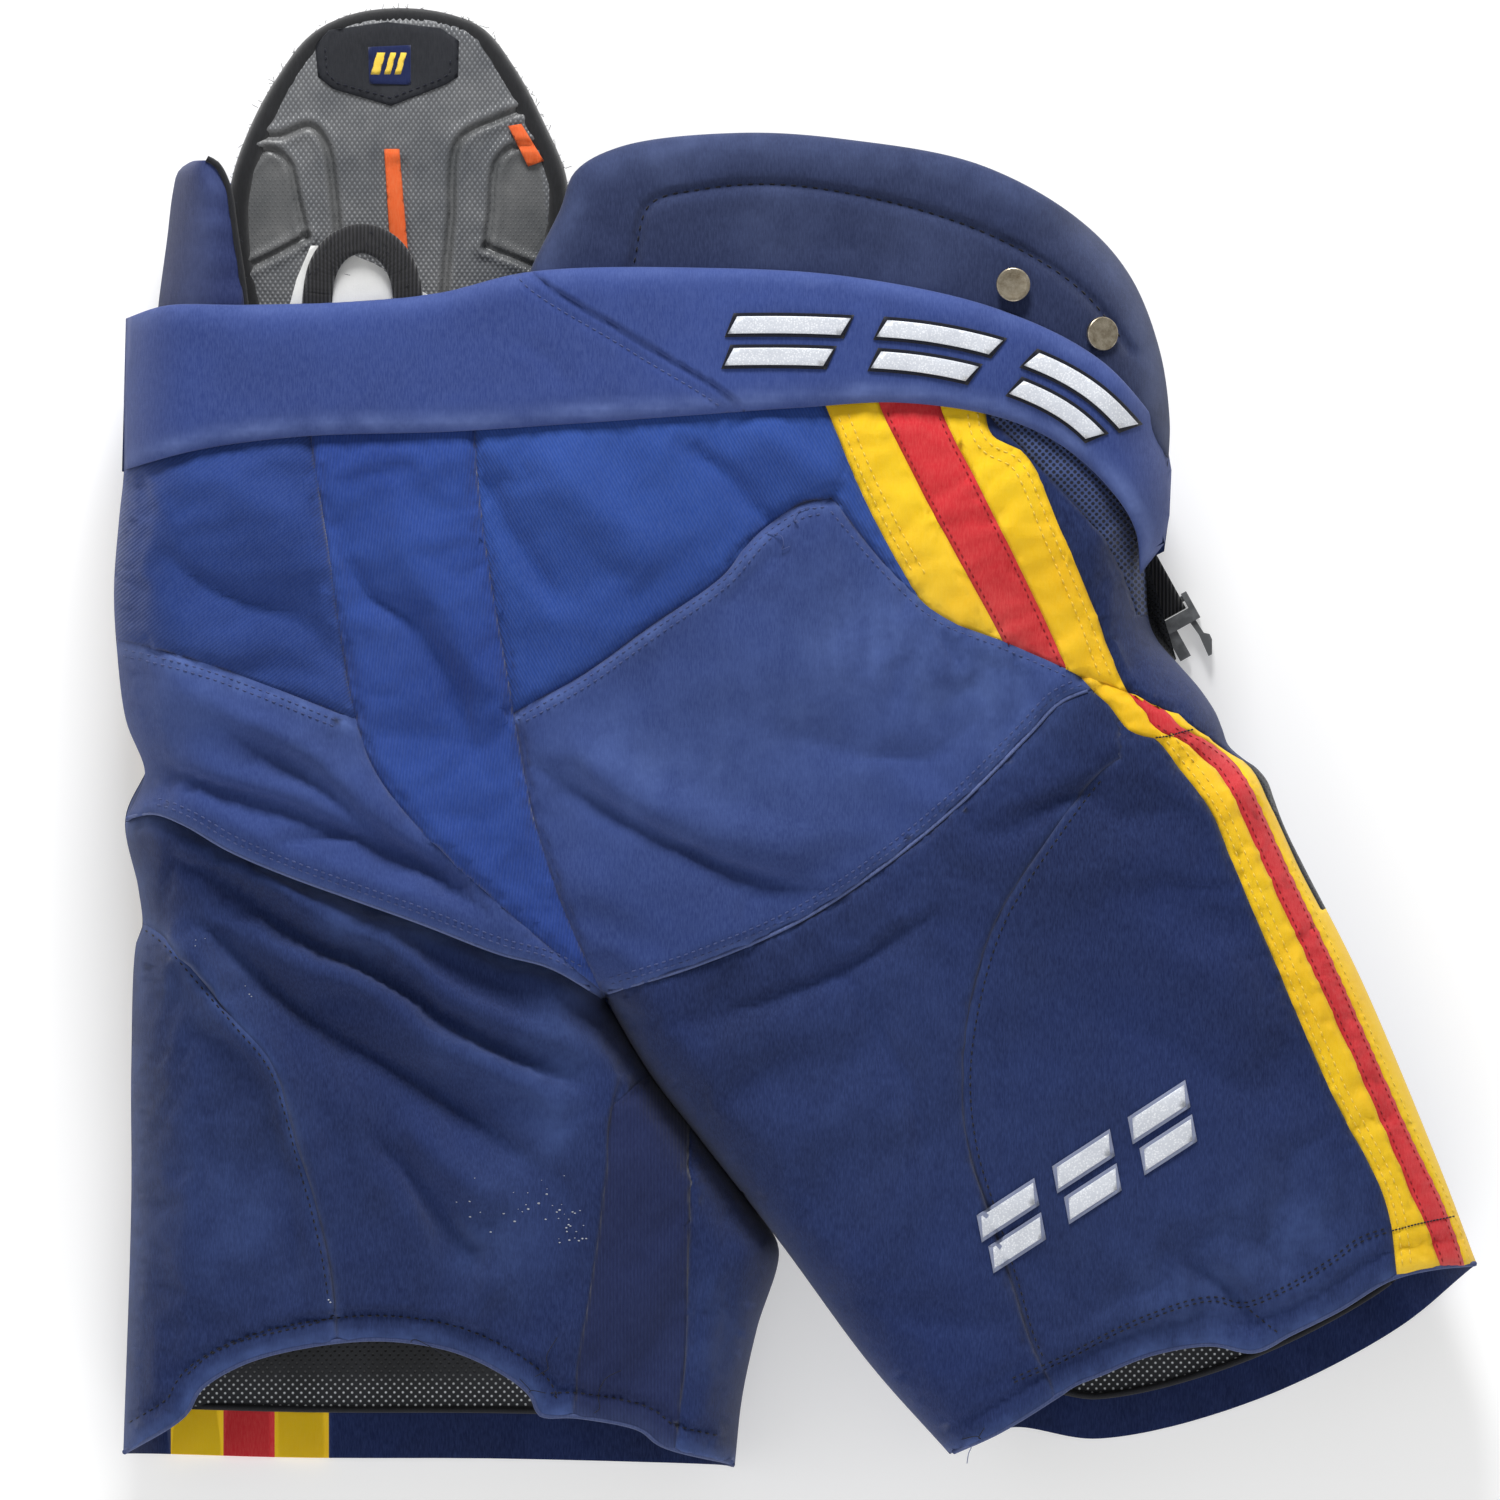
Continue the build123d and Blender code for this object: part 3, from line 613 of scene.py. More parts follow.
def mesh_cloth(name, dark, light, hole, pitch, size, turn=0.78, lit=False):
    """Open mesh: a regular lattice of small holes, pitch apart in millimetres."""
    m = Nodes(name)
    n = m.node("ShaderNodeTexVoronoi", feature="F1")
    n.inputs["Scale"].default_value = 1.0
    n.inputs["Randomness"].default_value = 0.0
    m.link(m.scaled((1000 / pitch, 1000 / pitch, 1.0), turn), n.inputs["Vector"])
    holes = m.ramp(n.outputs["Distance"], size, size + 0.14)
    color = m.mix(m.ramp(m.noise(30.0), 0.3, 0.7), dark, light)
    if lit:
        # With lit, the holes show the white backing where the wear attribute is 1, in a band by the far hem,
        # and are painted near black further into the leg: painted shade.
        hole = m.mix(m.attribute("wear"), lin(3, 3, 4), hole)
    color = m.mix(holes, hole, color)
    normal = m.bump(holes, 0.8, 0.0006)
    return m.finish(color, 0.75, normal, Sheen_Weight=0.1, Specular_IOR_Level=0.3)


LINER = mesh_cloth("black mesh", lin(20, 22, 26), lin(34, 36, 41), lin(3, 3, 4), 2.0, 0.18)
LINER_LIT = mesh_cloth("black mesh over white", lin(20, 22, 26), lin(34, 36, 41), lin(196, 200, 204), 3.0,
                       0.12, lit=True)
VENT = mesh_cloth("navy mesh", lin(44, 58, 100), lin(62, 78, 122), lin(12, 16, 34), 2.5, 0.3)


def guard_material():
    m = Nodes("moulded foam")
    diamonds = m.math("MULTIPLY", m.wave(150.0, "X", 0.0, math.radians(35)),
                      m.wave(150.0, "X", 0.0, math.radians(-35)))
    smudge = m.ramp(m.noise(16.0, 5.0, 0.65), 0.35, 0.72)
    color = m.mix(smudge, lin(92, 95, 100), lin(138, 139, 141))
    smooth_and_shade = m.attribute("wear")
    # Where the wear attribute is 1 the foam is darker: on the smooth insets this is their own darker grey,
    # and in the band beside each groove it is painted shade.
    color = m.mix(smooth_and_shade, color, m.mix(smudge, lin(72, 74, 76), lin(108, 108, 108)))
    diamonds = m.math("MAXIMUM", diamonds, m.math("MULTIPLY", smooth_and_shade, 0.5))
    # The troughs between the diamonds are painted near black: painted shade.
    color = m.mix(m.ramp(diamonds, 0, 0.5, 0.5, 0.0), color, lin(26, 26, 27))
    normal = m.bump(diamonds, 0.55, 0.0006)
    normal = m.bump(m.noise(60.0, 4.0), 0.25, 0.001, normal)
    return m.finish(color, m.ramp(smudge, 0, 1, 0.3, 0.52), normal, Specular_IOR_Level=0.5)


GUARD = guard_material()


def metal_material():
    m = Nodes("antique metal")
    tone = m.ramp(m.noise(240.0, 4.0, 0.7), 0.3, 0.7)
    color = m.mix(tone, lin(126, 114, 94), lin(196, 186, 166))
    return m.finish(color, m.ramp(tone, 0, 1, 0.42, 0.26), m.bump(m.noise(500.0), 0.15, 0.0002), Metallic=1.0)


METAL = metal_material()


def brass_material():
    m = Nodes("dull brass")
    tone = m.ramp(m.noise(300.0, 4.0, 0.7), 0.3, 0.7)
    return m.finish(m.mix(tone, lin(120, 100, 60), lin(190, 164, 104)), 0.4, None, Metallic=1.0)


BRASS = brass_material()


def plastic(name, color, worn, roughness=0.42):
    m = Nodes(name)
    tone = m.ramp(m.noise(90.0, 4.0, 0.6), 0.4, 0.75)
    return m.finish(m.mix(tone, color, worn), m.ramp(tone, 0, 1, roughness, roughness + 0.18),
                    m.bump(m.noise(700.0, 2.0), 0.08, 0.0002), Specular_IOR_Level=0.5)


BUCKLE = plastic("black acetal", lin(20, 20, 22), lin(44, 44, 47))
BUCKLE_GREY = plastic("rubbed acetal", lin(96, 98, 100), lin(146, 148, 150))


def reflective_material():
    m = Nodes("reflective film")
    cells = m.voronoi(900.0)
    scuff = m.ramp(m.noise(60.0, 5.0, 0.7), 0.45, 0.7)
    color = m.mix(m.ramp(cells, 0.1, 0.5), lin(240, 242, 246), lin(206, 210, 218))
    color = m.mix(m.math("MULTIPLY", scuff, 0.4), color, lin(178, 182, 194))
    return m.finish(color, 0.45, m.bump(cells, 0.3, 0.0002), Metallic=0.15, Specular_IOR_Level=0.5)


MARK = reflective_material()


def webbing_material():
    m = Nodes("black webbing")
    ribs = m.wave(170.0, "X", 0.3)
    color = m.mix(m.ramp(ribs, 0, 1), lin(14, 14, 16), lin(46, 46, 50))
    return m.finish(color, 0.8, m.bump(ribs, 0.8, 0.0008), Sheen_Weight=0.2, Specular_IOR_Level=0.3)


WEBBING = webbing_material()


# ---- sheets --------------------------------------------------------------------------------------
RIGHT_BLEND = dict(start=(0.0574, -0.068, 0.06), end=(0.1057, -0.1669, 0.06))
LEFT_BLEND = dict(start=(-0.2185, -0.0885, 0.055), end=(-0.2594, -0.1878, 0.055))
KIDNEY_BLEND = dict(start=(0.0185, 0.1810, 0.125), end=(0.0200, 0.2031, 0.125))
LEFT_KIDNEY_BLEND = dict(start=(-0.300, 0.215, 0.06), end=(-0.300, 0.245, 0.06))
BLENDS = {
    "right_leg": ("waist", "right_leg", RIGHT_BLEND),
    "left_leg": ("waist", "left_leg", LEFT_BLEND),
    "right_kidney": ("waist", "right_kidney", KIDNEY_BLEND),
    "left_kidney": ("waist", "left_kidney", LEFT_KIDNEY_BLEND),
}


def place(obj, body):
    """Ride on a body, or, for a body in BLENDS, only have the transform baked into the mesh."""
    if body in BLENDS:
        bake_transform(obj)
    else:
        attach(obj, body)


def build(name, points, faces, material, slot, body, replaces=(), wear=None, thick=0.0, inward=-1):
    """One piece from points in millimetres: its mesh, thickness and body. The slot is not used."""
    mesh = bpy.data.meshes.new(name)
    mesh.from_pydata([tuple(v) for v in np.asarray(points) * MM], [],
                     [tuple(int(i) for i in f) for f in faces])
    mesh.polygons.foreach_set("use_smooth", [True] * len(mesh.polygons))
    # The wear attribute holds rubbed wear; on the belt and the right kidney pad it also holds painted
    # highlight, on the spine guard painted shade beside its grooves, and on the front lining painted shade
    # away from the far hem.
    attribute = mesh.attributes.new("wear", "FLOAT", "POINT")
    attribute.data.foreach_set("value", (np.zeros(len(points)) if wear is None else wear).astype(np.float32))
    for item in (material if isinstance(material, (list, tuple)) else [material]):
        mesh.materials.append(item)
    mesh.validate()
    mesh.update()
    obj = bpy.data.objects.new(name, mesh)
    bpy.context.scene.collection.objects.link(obj)
    if thick:
        solid = obj.modifiers.new("thickness", "SOLIDIFY")
        solid.thickness = thick * MM
        solid.offset = inward
        solid.use_even_offset = False
        deps = bpy.context.evaluated_depsgraph_get()
        final = bpy.data.meshes.new_from_object(obj.evaluated_get(deps))
        obj.modifiers.clear()
        obj.data = final
    known = [node for node in replaces if node in frame["nodes"]]
    if known:
        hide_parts(*known)
    place(obj, body)
    return obj


def part_of(verts, faces, flip=False):
    """The share of a sheet that some of its triangles use."""
    used = np.unique(faces)
    number = np.full(len(verts), -1)
    number[used] = np.arange(len(used))
    local = number[faces]
    return used, (local[:, ::-1] if flip else local)


def panels(verts, faces, points, rows, thick, flip=False, wear=None):
    """One piece for each row: (name, mask of its triangles, material, slot, body, nodes)."""
    for name, mask, material, slot, body, nodes in rows:
        used, local = part_of(verts, faces[mask], flip)
        build(f"v_{name}", points[used], local, material, slot, body, nodes,
              None if wear is None else wear[used], thick)


def fold_field(p, ridges):
    """Rounded ridges and sharper valleys: (points, width, height)."""
    out = np.zeros(len(p))
    for points, width, height in ridges:
        line = smooth(points, 6)
        d, along = to_line(p, line)
        total = np.sum(np.linalg.norm(np.diff(line, axis=0), axis=1))
        ends = fade(along, -1, total * 0.28) * fade(total - along, -1, total * 0.28)
        if height < 0:
            profile = np.exp(-(np.sqrt(d * d + 4) - 2) / (0.62 * width))
        else:
            profile = bell(d, width)
        out += height * profile * ends
    return out


def relax(points, faces, fixed, stretch, push, limit, frames=18):
    """Let a sheet settle as cloth, cut a little too large for its frame, so that it creases."""
    mesh = bpy.data.meshes.new("cloth")
    mesh.from_pydata([tuple(v) for v in points * MM], [], [tuple(int(i) for i in f) for f in faces])
    obj = bpy.data.objects.new("cloth", mesh)
    bpy.context.scene.collection.objects.link(obj)
    group = obj.vertex_groups.new(name="pin")
    for i, weight in enumerate(fixed):
        if weight > 0.01:
            group.add([i], float(weight), "REPLACE")
    cloth_ = obj.modifiers.new("cloth", "CLOTH")
    settings = cloth_.settings
    settings.quality = 5
    settings.mass = 0.25
    settings.tension_stiffness = 20
    settings.compression_stiffness = 20
    settings.shear_stiffness = 8
    settings.bending_stiffness = 0.4
    settings.vertex_group_mass = "pin"
    settings.pin_stiffness = 1.0
    settings.shrink_min = -stretch
    settings.use_pressure = True
    settings.uniform_pressure_force = push
    settings.effector_weights.gravity = 0.0
    cloth_.collision_settings.use_collision = False
    cloth_.point_cache.frame_start = 1
    cloth_.point_cache.frame_end = frames + 1
    scene = bpy.context.scene
    for number in range(1, frames + 1):
        scene.frame_set(number)
    deps = bpy.context.evaluated_depsgraph_get()
    done = obj.evaluated_get(deps).to_mesh()
    moved = np.empty(len(done.vertices) * 3)
    done.vertices.foreach_get("co", moved)
    moved = moved.reshape(-1, 3) / MM
    obj.evaluated_get(deps).to_mesh_clear()
    bpy.data.objects.remove(obj, do_unlink=True)
    bpy.data.meshes.remove(mesh)
    scene.frame_set(1)
    if len(moved) != len(points) or not np.isfinite(moved).all():
        return points
    step = moved - points
    size = np.linalg.norm(step, axis=1)
    step *= np.minimum(1, limit / np.maximum(size, 1e-6))[:, None]
    return points + step


class Ground:
    """A finished surface that stitches, marks and threads are laid on."""

    def __init__(self, points, faces):
        self.tree = BVHTree.FromPolygons([tuple(v) for v in points],
                                         [tuple(int(i) for i in f) for f in faces])

    def height(self, x, y, default=None):
        hit = self.tree.ray_cast(Vector((float(x), float(y), 400.0)), Vector((0, 0, -1)))[0]
        if hit is None:
            hit = self.tree.find_nearest(Vector((float(x), float(y), 140.0)))[0]
        return hit.z if hit is not None else default

    def heights(self, p):
        return np.array([self.height(x, y) for x, y in p])


def shifted(line, amount):
    """A line moved sideways to its left by amount."""
    t = unit(np.gradient(line, axis=0))
    return line + np.stack([-t[:, 1], t[:, 0]], 1) * amount


def trimmed(line, start, end):
    """The middle of a line, with millimetres cut from its start and its end."""
    along = lengths(line)
    keep = np.arange(start, along[-1] - end, 2.0)
    return np.stack([np.interp(keep, along, line[:, k]) for k in range(line.shape[1])], 1)


def stitches(name, lines, ground, material, slot, body, length=3.0, gap=1.3, radius=0.42, lift=0.15):
    """Rows of thread stitches, each a small rounded bead of thread that dips at both ends."""
    points, faces = [], []
    for line in lines:
        along = lengths(line)
        for at in np.arange(0.5, along[-1] - length, length + gap):
            spots = at + length * np.array([0.0, 0.18, 0.5, 0.82, 1.0])
            xy = np.stack([np.interp(spots, along, line[:, k]) for k in (0, 1)], 1)
            z = ground.heights(xy[[0, 2, 4]])
            z = np.array([z[0], (z[0] + z[1]) / 2, z[1], (z[1] + z[2]) / 2, z[2]])
            z += lift + radius * np.array([-0.7, 0.1, 0.35, 0.1, -0.7])
            t = xy[-1] - xy[0]
            t /= np.linalg.norm(t) + 1e-9
            side = np.array([-t[1], t[0]])
            base = len(points)
            for k, scale in ((1, 0.8), (2, 1.0), (3, 0.8)):
                for c, s in ((1, 0), (0, 1), (-1, 0), (0, -1)):
                    points.append((xy[k, 0] + side[0] * c * radius * scale,
                                   xy[k, 1] + side[1] * c * radius * scale, z[k] + s * radius * scale))
            points.append((xy[0, 0], xy[0, 1], z[0]))
            points.append((xy[4, 0], xy[4, 1], z[4]))
            for ring_ in (0, 4):
                for k in range(4):
                    a, b = base + ring_ + k, base + ring_ + (k + 1) % 4
                    faces.append((a, a + 4, b + 4, b))
            for k in range(4):
                faces.append((base + 12, base + k, base + (k + 1) % 4))
                faces.append((base + 13, base + 8 + (k + 1) % 4, base + 8 + k))
    return build(name, points, faces, material, slot, body)


def sweep(path, shape, close=False, ribs=0.0, pitch=2.0):
    """A strip along a 3-D path; shape is its section as (sideways, up) points; ribs raise it in waves."""
    path = np.asarray(path, float)
    t = unit(np.roll(path, -1, 0) - np.roll(path, 1, 0) if close else np.gradient(path, axis=0))
    along = lengths(path)
    points, faces = [], []
    n = len(shape)
    for i, (at, run) in enumerate(zip(path, t)):
        side = np.cross([0, 0, 1.0], run)
        side /= np.linalg.norm(side) + 1e-9
        up = np.cross(run, side)
        grow = 1 + ribs * math.sin(2 * math.pi * along[i] / pitch)
        for a, b in shape:
            points.append(at + side * a + up * b * grow)
        if i or close:
            j = (i - 1) % len(path)
            for k in range(n):
                m = (k + 1) % n
                faces.append((j * n + k, j * n + m, i * n + m, i * n + k))
    if not close:
        faces.append(tuple(range(n)))
        faces.append(tuple(range((len(path) - 1) * n, len(path) * n))[::-1])
    return points, faces


def oval(width, height, n=10, power=1.0):
    """A section for sweep: an ellipse, or flatter with a power below 1."""
    out = []
    for k in range(n):
        a = 2 * math.pi * k / n
        c, s = math.cos(a), math.sin(a)
        out.append((width / 2 * math.copysign(abs(c) ** power, c),
                    height / 2 * math.copysign(abs(s) ** power, s)))
    return out


def slab(outline, top, bottom, step, radius, lines=(), seam_gap=0.0):
    """A closed pad: an upper and a lower surface that meet along the outline."""
    verts, faces = sheet_faces(outline, list(lines), radius, step, seam_gap)
    d = away(verts, closed(outline))
    rim = d < 0.02
    zt, zb = top(verts, d), bottom(verts, d)
    middle = (zt + zb) / 2
    zt = np.where(rim, middle, zt)
    lower = np.where(rim, np.arange(len(verts)), len(verts) + np.cumsum(~rim) - 1)
    points = np.concatenate([np.column_stack([verts, zt]), np.column_stack([verts, zb])[~rim]])
    return points, faces, lower[faces][:, ::-1], verts


def fuzz(name, line3d, material, slot, body, count, length, spread, radius=0.16):
    """Loose fibres along an edge."""
    points, faces = [], []
    for _ in range(count):
        i = rng.integers(0, len(line3d))
        at = line3d[i] + rng.normal(0, spread, 3) * (1, 1, 0.6)
        way = rng.normal(0, 1, 3) * (1, 1, 0.5)
        way /= np.linalg.norm(way)
        bend = rng.normal(0, 0.5, 3)
        size = length * rng.uniform(0.4, 1.2)
        path = [at, at + way * size * 0.5 + bend * 0.3, at + way * size + bend]
        path = [np.array((q[0], q[1], max(q[2], 1.0))) for q in path]
        p, f = sweep(path, oval(radius * 2, radius * 2, 3))
        base = len(points)
        points += p
        faces += [tuple(base + k for k in face) for face in f]
    return build(name, points, faces, material, slot, body)


def thread(name, path, material, slot, body, radius=0.22):
    """One loose thread through a few points."""
    line = smooth3(path)
    p, f = sweep(line, oval(radius * 2, radius * 2, 5))
    return build(name, p, f, material, slot, body)


def smooth3(path, count=10):
    """A Catmull-Rom curve in space, with count points on each stretch."""
    path = [np.array(q, float) for q in path]
    p = [2 * path[0] - path[1]] + path + [2 * path[-1] - path[-2]]
    out = []
    for a, b, c, d in zip(p, p[1:], p[2:], p[3:]):
        for i in range(count):
            t = i / count
            out.append(0.5 * (2 * b + (c - a) * t + (2 * a - 5 * b + 4 * c - d) * t * t
                              + (3 * b - a - 3 * c + d) * t ** 3))
    out.append(path[-1])
    return np.array(out)


# ---- upper side: waist and right leg -------------------------------------------------------------
main_outline = ring(LEFT_EDGE, FOLD[FOLD_START:], RIGHT_INNER[::-1], RIGHT_NEAR[::-1], RIGHT_EDGE[::-1],
                    BAND_TOP[::-1])
gusset_ring = ring(GUSSET_LEFT, GUSSET_RIGHT[::-1])
red_ring = ring(RED_LOW_LEFT, RED_LOW_RIGHT[::-1])
red_top_ring = ring(RED_TOP_LEFT, RED_TOP_RIGHT[::-1])
leg_ring = ring(SEAT_LOW, [(260, 40), (420, -240), (420, -420), (0, -420), (-96, -160)])
leg_stripe = ring(STRIPE_LOW_LEFT, [(302, -420), (420, -420), (420, 60), (141.9, 60)])
stripe_ring = ring(STRIPE_TOP_LEFT, STRIPE_TOP_RIGHT[::-1])
left_of_gusset = ring(GUSSET_LEFT, [(-80, -300), (-500, -300), (-500, 300), (-243, 300)])
hip_left_side = ring(HIP_LEFT, [(-200, 4), (-60, -40), (-60, 400), (-500, 400), (-500, 51)])
under_seat_top = ring(SEAT_RIGHT_TOP, SEAT_STRIPE[1:], SIDE_HEM[1:],
                      [(500, -100), (500, -500), (-150, -500), (-150, 8)])
beside_yellow = ring(YELLOW_RIGHT, [(320, -85), (320, -2)])
back_inner_ring = ring(LEG_BACK, [(128, -420), (-120, -420), (-120, -100), (60, 0), (161, 40)])
right_of_stripe = ring(STRIPE_TOP_RIGHT, [(300, -200), (300, 300), (94, 300)])
above_vent_low = ring(VENT_LOW, [(300, 60), (300, 400), (92, 400)])

UPPER_THICK = 1.5
MAIN_NAMES = [
    "side_mesh", "seat_gusset", "stripe_upper_red", "stripe_upper_right", "right_red", "right_stripe",
    "right_back_inner", "right_back_outer", "seat_panel_right", "hip_panel_left", "seat_panel_left",
    "vent_panel_right", "side_panel_right", "hip_panel_right"
]


def main_owner(p):
    """Which panel of the waist and right leg each point belongs to."""
    out = np.full(len(p), MAIN_NAMES.index("hip_panel_right"))
    free = np.ones(len(p), bool)

    def claim(name, mask):
        nonlocal free
        out[mask & free] = MAIN_NAMES.index(name)
        free = free & ~mask

    low = inside(p, under_seat_top)
    in_leg = inside(p, leg_ring) & low
    stripe_low = inside(p, leg_stripe) & low
    claim("side_mesh", low & inside(p, beside_yellow))
    claim("right_red", stripe_low & inside(p, red_ring))
    claim("right_stripe", stripe_low)
    claim("seat_gusset", inside(p, gusset_ring) & ~in_leg)
    left = inside(p, left_of_gusset) & ~in_leg
    claim("hip_panel_left", left & inside(p, hip_left_side))
    claim("seat_panel_left", left)
    in_stripe = inside(p, stripe_ring) & ~low
    claim("stripe_upper_red", in_stripe & inside(p, red_top_ring))
    claim("stripe_upper_right", in_stripe)
    claim("right_back_inner", in_leg & inside(p, back_inner_ring))
    claim("right_back_outer", in_leg)
    claim("seat_panel_right", low)
    claim("vent_panel_right", inside(p, right_of_stripe) & inside(p, above_vent_low))
    claim("side_panel_right", inside(p, right_of_stripe))
    return out


MAIN_FOLDS = [
    ([(-326, 34), (-285, 15), (-246, -8), (-209, -38), (-178, -64)], 10, 8.0),
    ([(-300, 14), (-262, -8), (-238, -24), (-209, -47), (-178, -70), (-140, -100)], 9, -10.0),
    ([(-330, 4), (-308, -10), (-280, -20), (-246, -30), (-205, -48), (-168, -78)], 8, 5.0),
    ([(-334, -8), (-314, -16), (-285, -26), (-250, -38), (-219, -51), (-188, -65), (-160, -80)], 8, -8.0),
    ([(-336, -34), (-306, -35), (-275, -48), (-235, -63), (-180, -84), (-125, -106)], 8, 4.5),
    ([(-264, -52), (-242, -50), (-222, -51)], 4, -3.5),
    ([(-327, 102), (-303, 82), (-279, 70), (-250, 60), (-226, 34), (-214, 8)], 15, -7.0),
    ([(-306, 136), (-284, 126), (-255, 110), (-236, 86), (-228, 60)], 14, 5.0),
    ([(-330, 70), (-300, 54), (-262, 40)], 12, 3.0),
    ([(-238, 128), (-231, 108), (-216, 75), (-193, 58), (-176, 33), (-165, 3), (-150, -30)], 12, -7.0),
    ([(-206, 136), (-200, 112), (-187, 82), (-173, 56), (-156, 26), (-146, 0)], 12, 6.0),
    ([(-214, 10), (-196, -22), (-170, -58), (-130, -96)], 9, 4.0),
    ([(-162, 150), (-156, 130), (-146, 108), (-128, 82), (-112, 52)], 12, -8.0),
    ([(-134, 148), (-115, 128), (-88, 102), (-60, 76)], 13, 6.0),
    ([(-66, 152), (-40, 136), (-20, 114), (0, 100)], 12, -6.0),
    ([(-30, 160), (0, 140), (20, 122)], 10, 4.0),
    ([(-136, 4), (-112, -6), (-88, -24), (-52, -42), (-10, -52), (40, -50)], 13, 8.0),
    ([(-138, -10), (-110, -24), (-87, -38), (-52, -56), (-22, -68), (20, -74)], 10, -8.0),
    ([(-128, -52), (-100, -74), (-60, -92), (-10, -92)], 12, 4.0),
    ([(-60, 44), (0, 34), (70, 44), (120, 36)], 24, 4.5),
    ([(-40, 60), (-20, 84), (0, 96)], 9, -3.0),
    ([(-20, 8), (40, -8), (90, -4)], 16, -4.0),
    ([(-90, -118), (-50, -106), (-8, -88)], 7, 2.0),
    ([(-84, -142), (-40, -138), (20, -118), (80, -80)], 11, -4.5),
    ([(-60, -160), (0, -146), (56, -124)], 14, 4.0),
    ([(90, -60), (130, -34), (165, -20)], 12, -3.6),
    ([(120, -84), (160, -62), (206, -62)], 15, 4.0),
    ([(20, -110), (40, -146), (60, -190), (66, -230)], 10, -3.4),
    ([(44, -100), (64, -140), (78, -190)], 10, 3.2),
    ([(-40, -200), (20, -190), (70, -176)], 18, 3.0),
    ([(10, -280), (40, -250), (70, -206)], 14, 3.4),
    ([(108, -235), (104, -180), (120, -120)], 9, -2.0),
    ([(140, -250), (190, -232), (250, -226)], 20, 3.4),
    ([(130, -134), (190, -154), (245, -196)], 18, -3.2),
    ([(150, -180), (200, -190), (246, -216)], 14, 2.6),
    ([(170, -100), (215, -120), (240, -160)], 14, 3.2),
    ([(190, -258), (222, -282), (233, -300)], 7, -5.0),
    ([(204, -250), (240, -276), (262, -286)], 9, 3.2),
    ([(110, -318), (160, -290), (214, -282)], 7, 2.2),
]
# The width and depth of the groove that each seam sinks in.
SEAM_GROOVES = [
    (GUSSET_LEFT, 3.4, 2.4), (GUSSET_RIGHT, 3.4, 2.4), (SEAT_RIGHT_TOP, 3.2, 2.4), (SEAT_STRIPE, 3.2, 1.8),
    (SEAT_LOW, 3.2, 2.2), (LEG_BACK, 3.0, 1.8), (HIP_LEFT, 3.4, 2.2), (STRIPE_TOP_LEFT, 2.6, 0.9),
    (STRIPE_TOP_RIGHT, 2.6, 0.9), (RED_TOP_LEFT, 2.0, 0.5), (RED_TOP_RIGHT, 2.0, 0.5),
    (STRIPE_LOW_LEFT, 2.6, 1.0), (RED_LOW_LEFT, 2.0, 0.5), (RED_LOW_RIGHT, 2.0, 0.5), (VENT_LOW, 3, 1.8),
    (SIDE_HEM, 3.0, 2.0), (YELLOW_RIGHT, 2.4, 1.0)
]
MAIN_SEAMS = [line for line, width, depth in SEAM_GROOVES]


def main_base(p):
    """The waist's and right leg's upper side with rounded edges, but without seams and folds."""
    return rounded(main_top(p), p, ((LEFT_EDGE, 40, 66), (RIGHT_EDGE, 38, 62), (RIGHT_INNER, 30, 72)))


belt_zone = ring(BAND_LOW, [(260, 82), (260, 300), (-400, 300), (-400, 134)])


def under_belt(p):
    """1 under the belt and around it, where the shell is pressed down out of the belt's way."""
    return np.where(inside(p, belt_zone), 1.0, bell(away(p, BAND_LOW), 9))


def stripe_crinkle(p):
    """Short creases that run across the satin stripes."""
    on = (inside(p, stripe_ring) | (inside(p, leg_stripe) & inside(p, under_seat_top))).astype(float)
    along = 0.42 * p[:, 0] - 0.907 * p[:, 1]
    across = 0.907 * p[:, 0] + 0.42 * p[:, 1]
    return on * rough(np.column_stack([along / 7.0, across / 20.0]), 1.0, 3.3, 3)


def hem_roll(d):
    """How far a turned hem lies under the cloth: its rounded edge and the groove of its stitches."""
    return 3 * (1 - dome(d, 6)) + 1.4 * bell(d - 13, 2.2)


def main_height(p):
    """The waist's and right leg's upper side with its folds, creases and seams."""
    z = main_base(p)
    d = away(p, closed(main_outline))
    loose = fade(d, 0, 16)
    z += fold_field(p, MAIN_FOLDS) * loose
    z += (1.1 * rough(p, 42.0, 3.1) + 0.45 * rough(p, 15.0, 9.7)) * loose
    z += grooves(p, SEAM_GROOVES)
    z += 0.9 * stripe_crinkle(p) * loose
    z -= 3.5 * under_belt(p)
    d = away(p, FOLD[FOLD_START:])
    z = z - 8 * (1 - dome(d, 7))
    return z - hem_roll(away(p, RIGHT_NEAR))


def blotches(p, spots):
    """Round patches of wear: (x, y, radius, amount)."""
    w = np.zeros(len(p))
    for x, y, r, amount in spots:
        w += amount * np.exp(-((p[:, 0] - x) ** 2 + (p[:, 1] - y) ** 2) / r ** 2)
    return w


def edges_worn(p, lines):
    """Wear along lines: (line, width, amount)."""
    w = np.zeros(len(p))
    for line, width, amount in lines:
        w += amount * bell(away(p, line), width)
    return w


